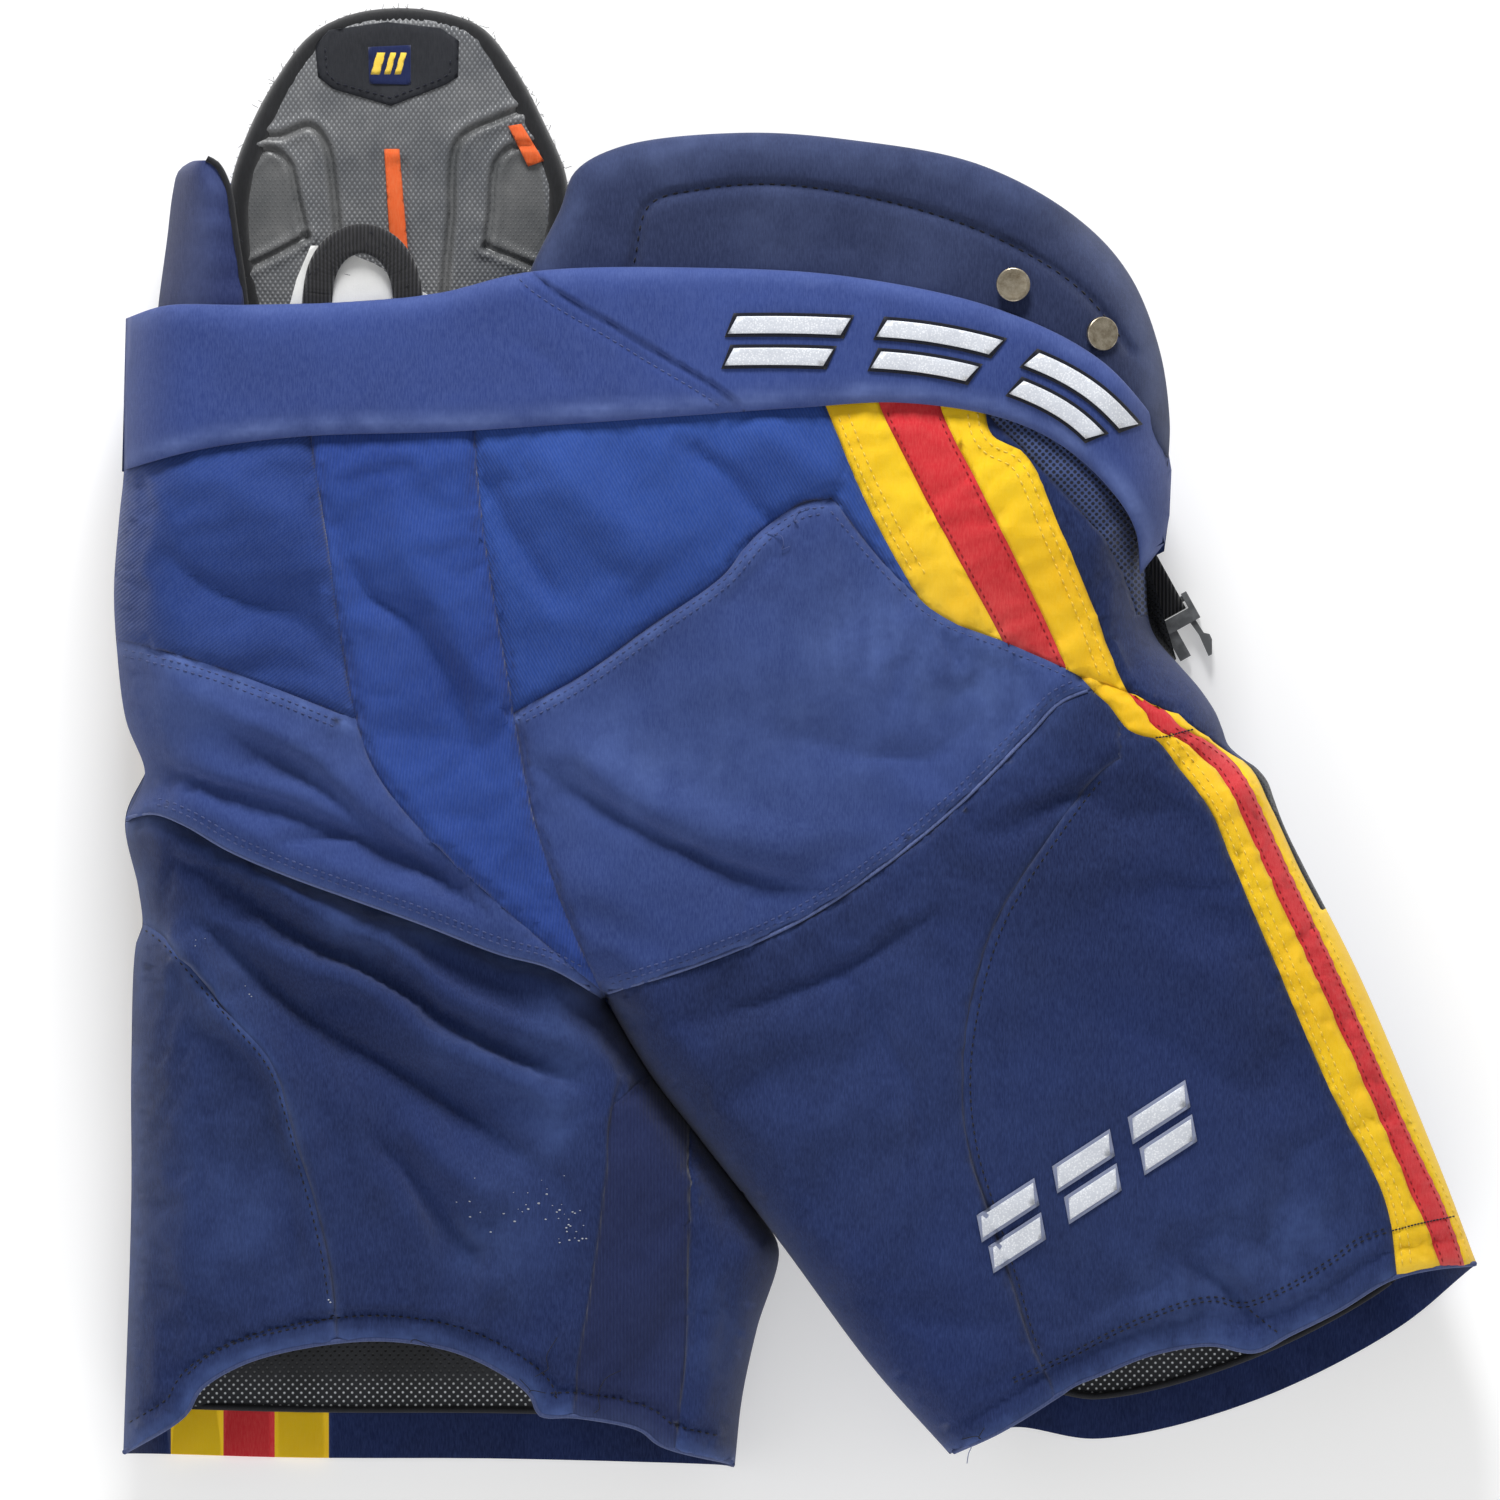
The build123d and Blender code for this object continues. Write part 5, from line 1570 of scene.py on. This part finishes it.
# ---- spine guard ---------------------------------------------------------------------------------
GUARD_Z = 106.0
guard_edge = SPINE_EDGE[:-1] if np.linalg.norm(SPINE_EDGE[0] - SPINE_EDGE[-1]) < 1 else SPINE_EDGE
guard_outline = shifted(closed(guard_edge), -4.0)[:-1]
GUARD_LINES = [smooth(q) for q in (
    [(-272, 302), (-259, 301.5), (-243.5, 306.5), (-236, 298.5), (-231, 268), (-229, 244), (-226, 190)],
    [(-275, 286), (-265, 295), (-255, 289), (-250, 270), (-245.5, 251)],
    [(-245.5, 251), (-262, 242), (-280, 233.5)],
    [(-128, 318), (-150, 310), (-169, 299), (-173, 260), (-176.5, 224), (-178, 190)],
    [(-131, 297), (-142, 296), (-150, 288), (-153, 262), (-155.5, 246)],
    [(-155.5, 246), (-140, 240), (-124, 233)],
)]
LEFT_INSET = np.array([(-278, 288), (-265, 294), (-256, 288), (-246.5, 252), (-282, 236)])
RIGHT_INSET = np.array([(-129, 294), (-142, 294), (-149, 287), (-154.5, 247), (-122, 236)])
CENTRE_RIB = smooth([(-198, 314), (-199, 292), (-199, 230), (-196, 190)])


def guard_top(p, d):
    z = GUARD_Z + 1.4 * dome(d, 8) + 3.5 * bell(p[:, 0] + 199, 60)
    for line in GUARD_LINES:
        z -= 2.4 * bell(away(p, line), 1.6)
        z += 0.8 * bell(away(p, line) - 3.8, 2.0)
    z += 1.3 * fade(away(p, CENTRE_RIB), 16, 8)
    z -= 1.6 * fade(away(p, CENTRE_RIB), 5.2, 4.0) * fade(p[:, 1], 292, 287)
    for inset in (LEFT_INSET, RIGHT_INSET):
        z -= 1.0 * inside(p, inset) * fade(away(p, closed(inset)), 0, 2)
    return z + 0.3 * rough(p, 16, 5.5)


pts, upper, lower, flat = slab(guard_outline, guard_top, lambda p, d: np.full(len(p), 96.0),
                               1.7, 8, GUARD_LINES, 0.9)
# The wear attribute of the guard: 1 on the smooth insets, and 1 in a band beside each groove, where the
# darker colour is painted shade.
smooth_and_groove_shade = np.zeros(len(pts))
smooth_and_groove_shade[:len(flat)] = (inside(flat, LEFT_INSET) | inside(flat, RIGHT_INSET)).astype(float)
for line in GUARD_LINES:
    smooth_and_groove_shade[:len(flat)] = np.maximum(smooth_and_groove_shade[:len(flat)], fade(away(flat, line), 4.2, 2.4))
guard_ground = Ground(pts, upper)
obj = build("v_spine_guard", pts, np.concatenate([upper, lower]), GUARD, "guard_foam", "spine_guard",
            ["spine_guard_foam"], smooth_and_groove_shade)
rim_line = shifted(closed(guard_edge), -4.6)
rim3 = np.column_stack([rim_line[:-1], np.full(len(rim_line) - 1, 102.5)])
p, f = sweep(rim3, oval(11.4, 13.6, 14, 0.8), close=True)
p = np.array(p)
p[:, 2] += 0.5 * rough(p[:, :2], 5, 1.1)
build("v_spine_guard_binding", p, f, FUZZY, "black_fabric", "spine_guard", ["spine_guard_binding"])
rim_out = np.column_stack([guard_edge, np.full(len(guard_edge), 104.0)])
fuzz("v_spine_guard_fibres", rim_out[guard_edge[:, 1] > 240], DARK_THREAD, "black_fabric", "spine_guard",
     420, 2.6, 0.8)


def laid(name, outline, ground, lift, thickness, step, material, slot, body, nodes=(), lines=(), bulge=0.0,
         wear_=None):
    """A flat piece laid on a surface: patch, tape, mark or label."""
    def top(p, d):
        return ground.heights(p) + lift + thickness * dome(d, max(0.4, thickness)) + bulge * dome(d, 6)

    def bottom(p, d):
        return ground.heights(p) + lift - 0.3
    pts_, up, down, _ = slab(np.asarray(outline, float), top, bottom, step, 2.0, lines)
    obj_ = build(name, pts_, np.concatenate([up, down]), material, slot, body, nodes, wear_)
    return obj_, Ground(pts_, up)


def straight(points, step=2.5):
    """A polygon with points along its straight sides."""
    out = []
    for a, b in zip(points, list(points[1:]) + [points[0]]):
        a, b = np.array(a, float), np.array(b, float)
        count = max(1, int(np.linalg.norm(b - a) / step))
        out += [a + (b - a) * k / count for k in range(count)]
    return np.array(out)


cap_outline = straight([
    (-241, 347), (-234, 354.5), (-205, 358.6), (-178, 355.5), (-169, 349), (-169.5, 331), (-176, 327),
    (-203, 316.5), (-232, 325), (-239.5, 331)
])
_, cap_ground = laid("v_spine_guard_cap", cap_outline, guard_ground, 0.2, 1.3, 3.0, CAP_VINYL, "black_fabric",
                     "spine_guard", ["spine_guard_cap"])
cap_in = np.array([(-236, 346), (-235, 333), (-230, 328), (-203, 320.5), (-178, 330), (-173.5, 333),
                   (-173, 347)])
stitches("v_cap_stitches", [straight(cap_in)[:-26]], cap_ground, DARK_THREAD, "black_fabric", "spine_guard",
         2.6, 1.2)
_, badge_ground = laid("v_number_patch", straight([(-214.5, 346), (-193, 347), (-193, 327), (-214, 327.5)]),
                       cap_ground, 0.1, 0.9, 3.0, BADGE, "badge", "spine_guard", ["number_patch"])
for k, (x, y, w, h) in enumerate(((-209.4, 337.6, 4.6, 11.5), (-203.4, 337.6, 3.2, 11.5),
                                  (-198.2, 337.6, 3.2, 11.5))):
    laid(f"v_badge_bar_{k}", straight([(x - w / 2 + 1.6, y + h / 2), (x + w / 2 + 1.6, y + h / 2),
                                       (x + w / 2 - 1.6, y - h / 2), (x - w / 2 - 1.6, y - h / 2)]),
         badge_ground, 0.05, 0.5, 2.0, YELLOW_THREAD, "badge", "spine_guard")
laid("v_spine_guard_insert", straight([(-206.5, 295), (-198.8, 295), (-194.6, 245), (-194, 232), (-201, 232),
                                       (-203.5, 246)]), guard_ground, 0.2, 1.6, 2.5, ORANGE, "orange_trim",
     "spine_guard", ["spine_guard_insert"], bulge=0.5)
laid("v_spine_guard_tab", straight([(-144.5, 306.5), (-137.8, 307.6), (-126.5, 289), (-134.5, 286.2)]),
     guard_ground, 1.6, 1.0, 2.5, ORANGE, "orange_trim", "spine_guard", ["spine_guard_tab"])

# ---- hang loop and label -------------------------------------------------------------------------
loop_path = smooth3([
    (-240, 204, 127.5), (-239.5, 222, 131.5), (-236.5, 236, 133.0), (-229, 246, 133.8), (-217.5, 250, 134),
    (-206, 246, 133.8), (-198, 236, 133.0), (-194.5, 222, 131.5), (-194, 204, 127.5)
], 16)
p, f = sweep(loop_path, oval(15.0, 4.4, 14, 0.7), ribs=0.16, pitch=2.2)
on_loop = np.array([q[1] > 222 for q in p])
loop_faces = [q for q in f if all(on_loop[k] for k in q)]
end_faces = [q for q in f if not all(on_loop[k] for k in q)]
for name, chosen, body, nodes in (("hang_loop", loop_faces, "hang_loop", ["hang_loop"]),
                                  ("hang_loop_ends", end_faces, "waist", ["hang_loop_ends"])):
    used = sorted({k for q in chosen for k in q})
    number = {k: i for i, k in enumerate(used)}
    build(f"v_{name}", [p[k] for k in used], [[number[k] for k in q] for q in chosen], WEBBING,
          "black_webbing", body, nodes)
fuzz("v_hang_loop_fibres", loop_path[(loop_path[:, 1] > 228)], DARK_THREAD, "black_webbing", "hang_loop",
     160, 2.4, 3.2)
label = straight([
    (-257, 204), (-250, 230), (-243, 246.5), (-235, 246.5), (-225, 243), (-212, 238), (-198, 230),
    (-181, 220), (-178, 204)
])
label_pts, up, down, _ = slab(label, lambda p, d: 129.6 + 0.5 * rough(p, 14, 2.0), lambda p,
                              d: 129.0 + 0.5 * rough(p, 14, 2.0), 4.0, 2)
build("v_care_label", label_pts, np.concatenate([up, down]), LABEL, "white_label", "waist", ["care_label"])

# ---- belt webbing --------------------------------------------------------------------------------
def flat_webbing(node, centres, across_):
    """Webbing 24.8 mm wide, from its middle line and the way that its width runs."""
    points_, faces_ = [], []
    for i_, (x, y, z) in enumerate(centres):
        for k_ in range(9):
            w = (k_ - 4) / 4 * 12.4
            points_.append((x + across_[0] * w, y + across_[1] * w, z))
        if i_:
            faces_ += [((i_ - 1) * 9 + k_, (i_ - 1) * 9 + k_ + 1, i_ * 9 + k_ + 1, i_ * 9 + k_)
                       for k_ in range(8)]
    build(f"v_{node}", points_, faces_, WEBBING, "black_webbing", "waist", [node], thick=1.3, inward=0)


turn = math.radians(29)
across = np.array([math.cos(turn), math.sin(turn)])
along_ = np.array([-math.sin(turn), math.cos(turn)])
at = np.array([182.0, 64.0])
strip = []
for s_, z_ in ((2.5, 8.2), (4.6, 6.0), (4.2, 2.0), (1.0, 0.8), (-3.6, 2.4), (-4.2, 5.2), (-2.6, 7.8),
               (1.5, 8.8), (8, 9.2), (18, 9.4), (30, 9.6)):
    q = at + along_ * s_
    strip.append((q[0], q[1], z_ + 0.3))
flat_webbing("buckle_strap", smooth3(strip, 5), across)
web = [(-290, 9.8), (-240, 10.2), (-180, 10.4), (-120, 10.8), (-84, 12.4), (-76, 13.4)]
flat_webbing("belt_webbing", [(x, 137.5, z) for x, z in smooth(web, 4)], (0.0, 1.0))

# ---- stitching -----------------------------------------------------------------------------------
def beside(line, cut, *amounts):
    """Rows beside a line whose ends are cut short, each at its distance to the left."""
    middle = trimmed(line, *cut)
    return [shifted(middle, amount) for amount in amounts]


RIGHT_HEM_SEAM = smooth([
    (108, -322), (134.2, -310.7), (165.3, -294.8), (197.2, -282.8), (209.9, -281.2), (222.7, -284.4),
    (245, -275.7), (268.9, -261.3), (281.7, -251.7), (296.8, -246.2)
])
HEM_CROSS_SEAM = smooth([(225.9, -285.2), (233, -291), (241.8, -298)])
STRIPE_CROSS_SEAMS = [
    smooth([(178.5, 0.5), (186, 1.6), (192, 3.4), (198.5, 4.9)]),
    smooth([(296.8, -246.2), (312, -242.2), (330, -238.7)])
]
LEFT_OUTER_HEM = smooth([(-231, -288), (-240, -292), (-255, -295.5), (-279, -301.5), (-295, -309),
                         (-305, -318)])
# Name, rows, ground, thread, slot, body, and the stitch: length, gap and, where they differ, radius and lift.
for name, rows, ground, material, slot, body, stitch in (
    ("seat_stitches", beside(SEAT_RIGHT_TOP, (2, 2), -3.2, -6.6) + beside(SEAT_LOW, (4, 4), 4.2, 7.4)
     + beside(SEAT_STRIPE, (4, 4), -3.4), main_ground, NAVY_THREAD, "navy_nylon", "waist", (2.4, 1.5)),
    ("left_seat_stitches", beside(HIP_LEFT, (14, 4), -4.0, -7.2) + beside(FOLD, (30, 18), 5.4, 8.4),
     main_ground, NAVY_THREAD, "navy_nylon", "waist", (2.4, 1.5)),
    ("leg_back_stitches", beside(LEG_BACK, (14, 16), 2.6), main_ground, DARK_THREAD, "navy_nylon",
     "right_leg", (2.4, 1.6)),
    ("right_hem_stitches", [RIGHT_HEM_SEAM, shifted(RIGHT_HEM_SEAM, 2.2), HEM_CROSS_SEAM], main_ground,
     DARK_THREAD, "navy_nylon", "right_leg", (2.4, 1.5)),
    ("left_hem_stitches", beside(LEFT_NEAR, (10, 8), 12.0), left_ground, DARK_THREAD, "navy_nylon",
     "left_leg", (2.4, 1.5)),
    ("left_outer_stitches", beside(LEFT_OUTER, (26, 40), -2.6), left_ground, DARK_THREAD, "navy_nylon",
     "left_leg", (2.4, 1.6)),
    ("stripe_stitches_top", beside(STRIPE_TOP_LEFT, (24, 44), 4.0) + beside(STRIPE_TOP_LEFT, (24, 40), 9.0)
     + beside(STRIPE_TOP_RIGHT, (18, 10), -4.0, -9.0), main_ground, YELLOW_THREAD, "stripe", "waist",
     (2.8, 1.3)),
    ("stripe_red_stitches_top", beside(RED_TOP_LEFT, (16, 8), 2.2) + beside(RED_TOP_RIGHT, (16, 8), -2.2),
     main_ground, RED_THREAD, "stripe", "waist", (2.4, 1.4)),
    ("stripe_stitches_low", beside(STRIPE_LOW_LEFT, (50, 26), 3.4) + beside(STRIPE_LOW_LEFT, (52, 26), 7.6)
     + beside(RED_LOW_RIGHT, (120, 26), 3.0), main_ground, YELLOW_THREAD, "stripe", "right_leg",
     (2.8, 1.3)),
    ("stripe_red_stitches_low", beside(RED_LOW_LEFT, (22, 26), 1.8) + beside(RED_LOW_RIGHT, (30, 26), -1.8),
     main_ground, RED_THREAD, "stripe", "right_leg", (2.4, 1.4)),
    ("cross_seam", STRIPE_CROSS_SEAMS, main_ground, DARK_THREAD, "stripe", "right_leg",
     (1.6, 0.05, 0.4, 0.35)),
    ("left_outer_hem", [LEFT_OUTER_HEM], left_ground, DARK_THREAD, "navy_nylon", "left_leg", (2.4, 1.5)),
    ("band_join_stitches", beside(JOIN_STITCH, (14, 22), 0), belt_ground, NAVY_THREAD, "waist_band",
     "waist", (2.6, 1.4)),
    ("kidney_stitches", beside(KIDNEY_STITCH, (6, 4), 0), kidney_ground, DARK_THREAD, "black_fabric",
     "right_kidney", (3.4, 2.0, 0.6)),
):
    stitches(f"v_{name}", rows, ground, material, slot, body, *stitch)

# piping and welts, each a rounded cord of cloth along its seam
for name, line, ground, lift, radius, body, material in (
    ("piping_fold", trimmed(shifted(FOLD, 1.0), 16, 8), main_ground, 0.1, 0.9, "waist", PIPING),
    ("piping_seat_low", trimmed(shifted(SEAT_LOW, 0.6), 2, 2), main_ground, 0.2, 0.9, "waist", PIPING),
    ("welt_right_hem", trimmed(shifted(RIGHT_NEAR, -0.4), 1, 1), main_ground, -0.5, 1.3, "right_leg",
     WORN_EDGE),
    ("welt_left_hem", trimmed(shifted(LEFT_NEAR, 0.4), 1, 1), left_ground, -0.5, 1.3, "left_leg",
     WORN_EDGE),
):
    z = ground.heights(line) + lift
    z = np.convolve(np.pad(z, 4, mode="edge"), np.ones(9) / 9, mode="valid")
    p, f = sweep(np.column_stack([line, z]), oval(radius * 2, radius * 2, 8))
    build(f"v_{name}", p, f, material, "navy_nylon", body)

# ---- generic marks -------------------------------------------------------------------------------
BAR_THICK = 0.45


def bars(prefix, place_fn, ground, cells, body, slot, border):
    """Slanted bars on a surface, each with a border under it."""
    for k, (u, v, w, h, slant) in enumerate(cells):
        for grow, lift, material, tag in ((1.7, 0.8, border, "edge"), (0.0, 1.4, MARK, "bar")):
            corners = [
                (u - w / 2 - grow + slant, v + h / 2 + grow),
                (u + w / 2 + grow + slant, v + h / 2 + grow),
                (u + w / 2 + grow - slant, v - h / 2 - grow),
                (u - w / 2 - grow - slant, v - h / 2 - grow),
            ]
            outline = np.array([place_fn(a, b) for a, b in straight(corners, 3)])
            outline = outline if turns_left(outline) else outline[::-1]
            laid(f"v_{prefix}_{tag}_{k}", outline, ground, lift, BAR_THICK, 4.0, material, slot, body)


mark_line = trimmed((resample(BAND_TOP, 120) + resample(BAND_LOW_UPPER, 120)) / 2, 0, 0)
mark_seg = lengths(mark_line)


def at_length(s_):
    """The point at a distance along the belt's middle line."""
    return np.array([np.interp(s_, mark_seg, mark_line[:, k]) for k in (0, 1)])


def on_belt(u, v):
    """Belt coordinates: u along its middle from the centre of the mark, v across it."""
    s_ = MARK_AT + u
    q = at_length(s_)
    r = at_length(s_ + 2)
    t = (r - q) / (np.linalg.norm(r - q) + 1e-9)
    return q + np.array([-t[1], t[0]]) * v


MARK_AT = float(mark_seg[np.argmin(np.linalg.norm(mark_line - np.array([68, 192]), axis=1))])
cells = []
for c in (-74, 0, 74):
    cells += [(c + 2, 8.2, 56, 8.6, 2.4), (c - 3, -7.6, 50, 8.6, 2.4)]
bars("belt_mark", on_belt, belt_ground, cells, "waist", "waist_band", DARK_EDGE)


LEG_MARK_TURN = 33
LEG_MARK_AT = np.array([146.0, -219.0])


def on_leg(u, v):
    """Leg coordinates: u along the mark from its centre, v across it."""
    a = math.radians(LEG_MARK_TURN)
    return LEG_MARK_AT + u * np.array([math.cos(a), math.sin(a)]) + v * np.array([-math.sin(a), math.cos(a)])


cells = []
for c in (-45, 0, 45):
    cells += [(c + 2, 8.2, 31, 9.4, 2.6), (c - 3, -8.0, 28, 9.4, 2.6)]
bars("leg_mark", on_leg, main_ground, cells, "right_leg", "navy_nylon", PALE_EDGE)

# ---- loose threads at the hems -------------------------------------------------------------------
for k, (x, y, dx, dy, ground, body) in enumerate((
        (-131, -322, 12, 22, left_ground, "left_leg"), (-104, -336, 14, 18, left_ground, "left_leg"),
        (-196, -300, 20, -8, left_ground, "left_leg"), (-126, -330, -14, 10, left_ground, "left_leg"),
        (96, -344, -12, -9, main_ground, "right_leg"), (80, -354, 8, -6, main_ground, "right_leg"),
        (-14, 100, 12, -3, main_ground, "waist"), (-4, 110, 9, 3, main_ground, "waist"))):
    path = []
    for t in (0.0, 0.25, 0.5, 0.75, 1.0):
        px = x + dx * t + 3 * math.sin(6 * t + k)
        py = y + dy * t + 3 * math.cos(5 * t + 2 * k)
        path.append((px, py, ground.height(px, py) + 1.0 + 1.5 * math.sin(3.1 * t)))
    thread(f"v_thread_{k}", path, NAVY_THREAD if k > 4 else DARK_THREAD, "navy_nylon", body)

flecks, fleck_faces = [], []
for x, y, spread, count in ((-132, -233, 7, 14), (-114, -240, 4, 12), (-110, -249, 4, 9), (-300, -101, 3, 3),
                            (-232, -281, 2, 2), (-158, -232, 9, 8), (-274, -122, 4, 3)):
    for _ in range(count):
        px, py = x + rng.normal(0, spread), y + rng.normal(0, spread)
        z = left_ground.height(px, py) + 0.12
        size, start = rng.uniform(0.25, 0.8), rng.uniform(0, 3)
        base = len(flecks)
        for k in range(5):
            a = start + 2 * math.pi * k / 5
            flecks.append((px + size * math.cos(a), py + 0.6 * size * math.sin(a), z))
        flecks.append((px, py, z + 0.25))
        fleck_faces += [(base + 5, base + k, base + (k + 1) % 5) for k in range(5)]
        fleck_faces.append(tuple(base + k for k in range(5))[::-1])
build("v_lint", flecks, fleck_faces, LINT, "navy_nylon", "left_leg")

# ---- carried-over metal and plastic --------------------------------------------------------------
KEPT = {"button": METAL, "kidney_rivets": METAL, "fly_eyelets": BRASS, "male_buckle": BUCKLE_GREY,
        "buckle_prong": BUCKLE_GREY, "female_buckle": BUCKLE}
for obj in bpy.data.objects:
    if "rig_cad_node" in obj and not obj.hide_render:
        for key, material in KEPT.items():
            if obj.name.startswith(key) or str(obj["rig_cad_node"]).startswith(key):
                obj.data.materials.clear()
                obj.data.materials.append(material)

# ---- floor and light -----------------------------------------------------------------------------
bpy.ops.mesh.primitive_plane_add(size=12, location=(0, 0, -0.0005))
floor = bpy.context.object
floor.name = "floor"
m = Nodes("pale floor")
floor.data.materials.append(m.finish((0.72, 0.72, 0.72), 0.9, None, Specular_IOR_Level=0.1,
                                     Emission_Color=(1, 1, 1, 1), Emission_Strength=0.34))


def area_light(name, location, target, size, power):
    data = bpy.data.lights.new(name, "AREA")
    data.energy = power
    data.size = size
    light = bpy.data.objects.new(name, data)
    light.location = location
    light.rotation_euler = (Vector(target) - Vector(location)).to_track_quat("-Z", "Y").to_euler()
    bpy.context.scene.collection.objects.link(light)


area_light("key", (-0.1, 2.3, 1.35), (0, 0, 0.05), 0.8, 78)
area_light("fill", (-1.6, -0.5, 2.4), (0, 0, 0.05), 2.2, 7)
area_light("low fill", (0.1, -2.2, 0.9), (0, -0.3, 0.02), 1.5, 21)
world = bpy.data.worlds.new("world")
world.use_nodes = True
world.node_tree.nodes["Background"].inputs["Color"].default_value = (1, 1, 1, 1)
world.node_tree.nodes["Background"].inputs["Strength"].default_value = 0.46
bpy.context.scene.world = world
bpy.context.scene.view_settings.view_transform = "Standard"
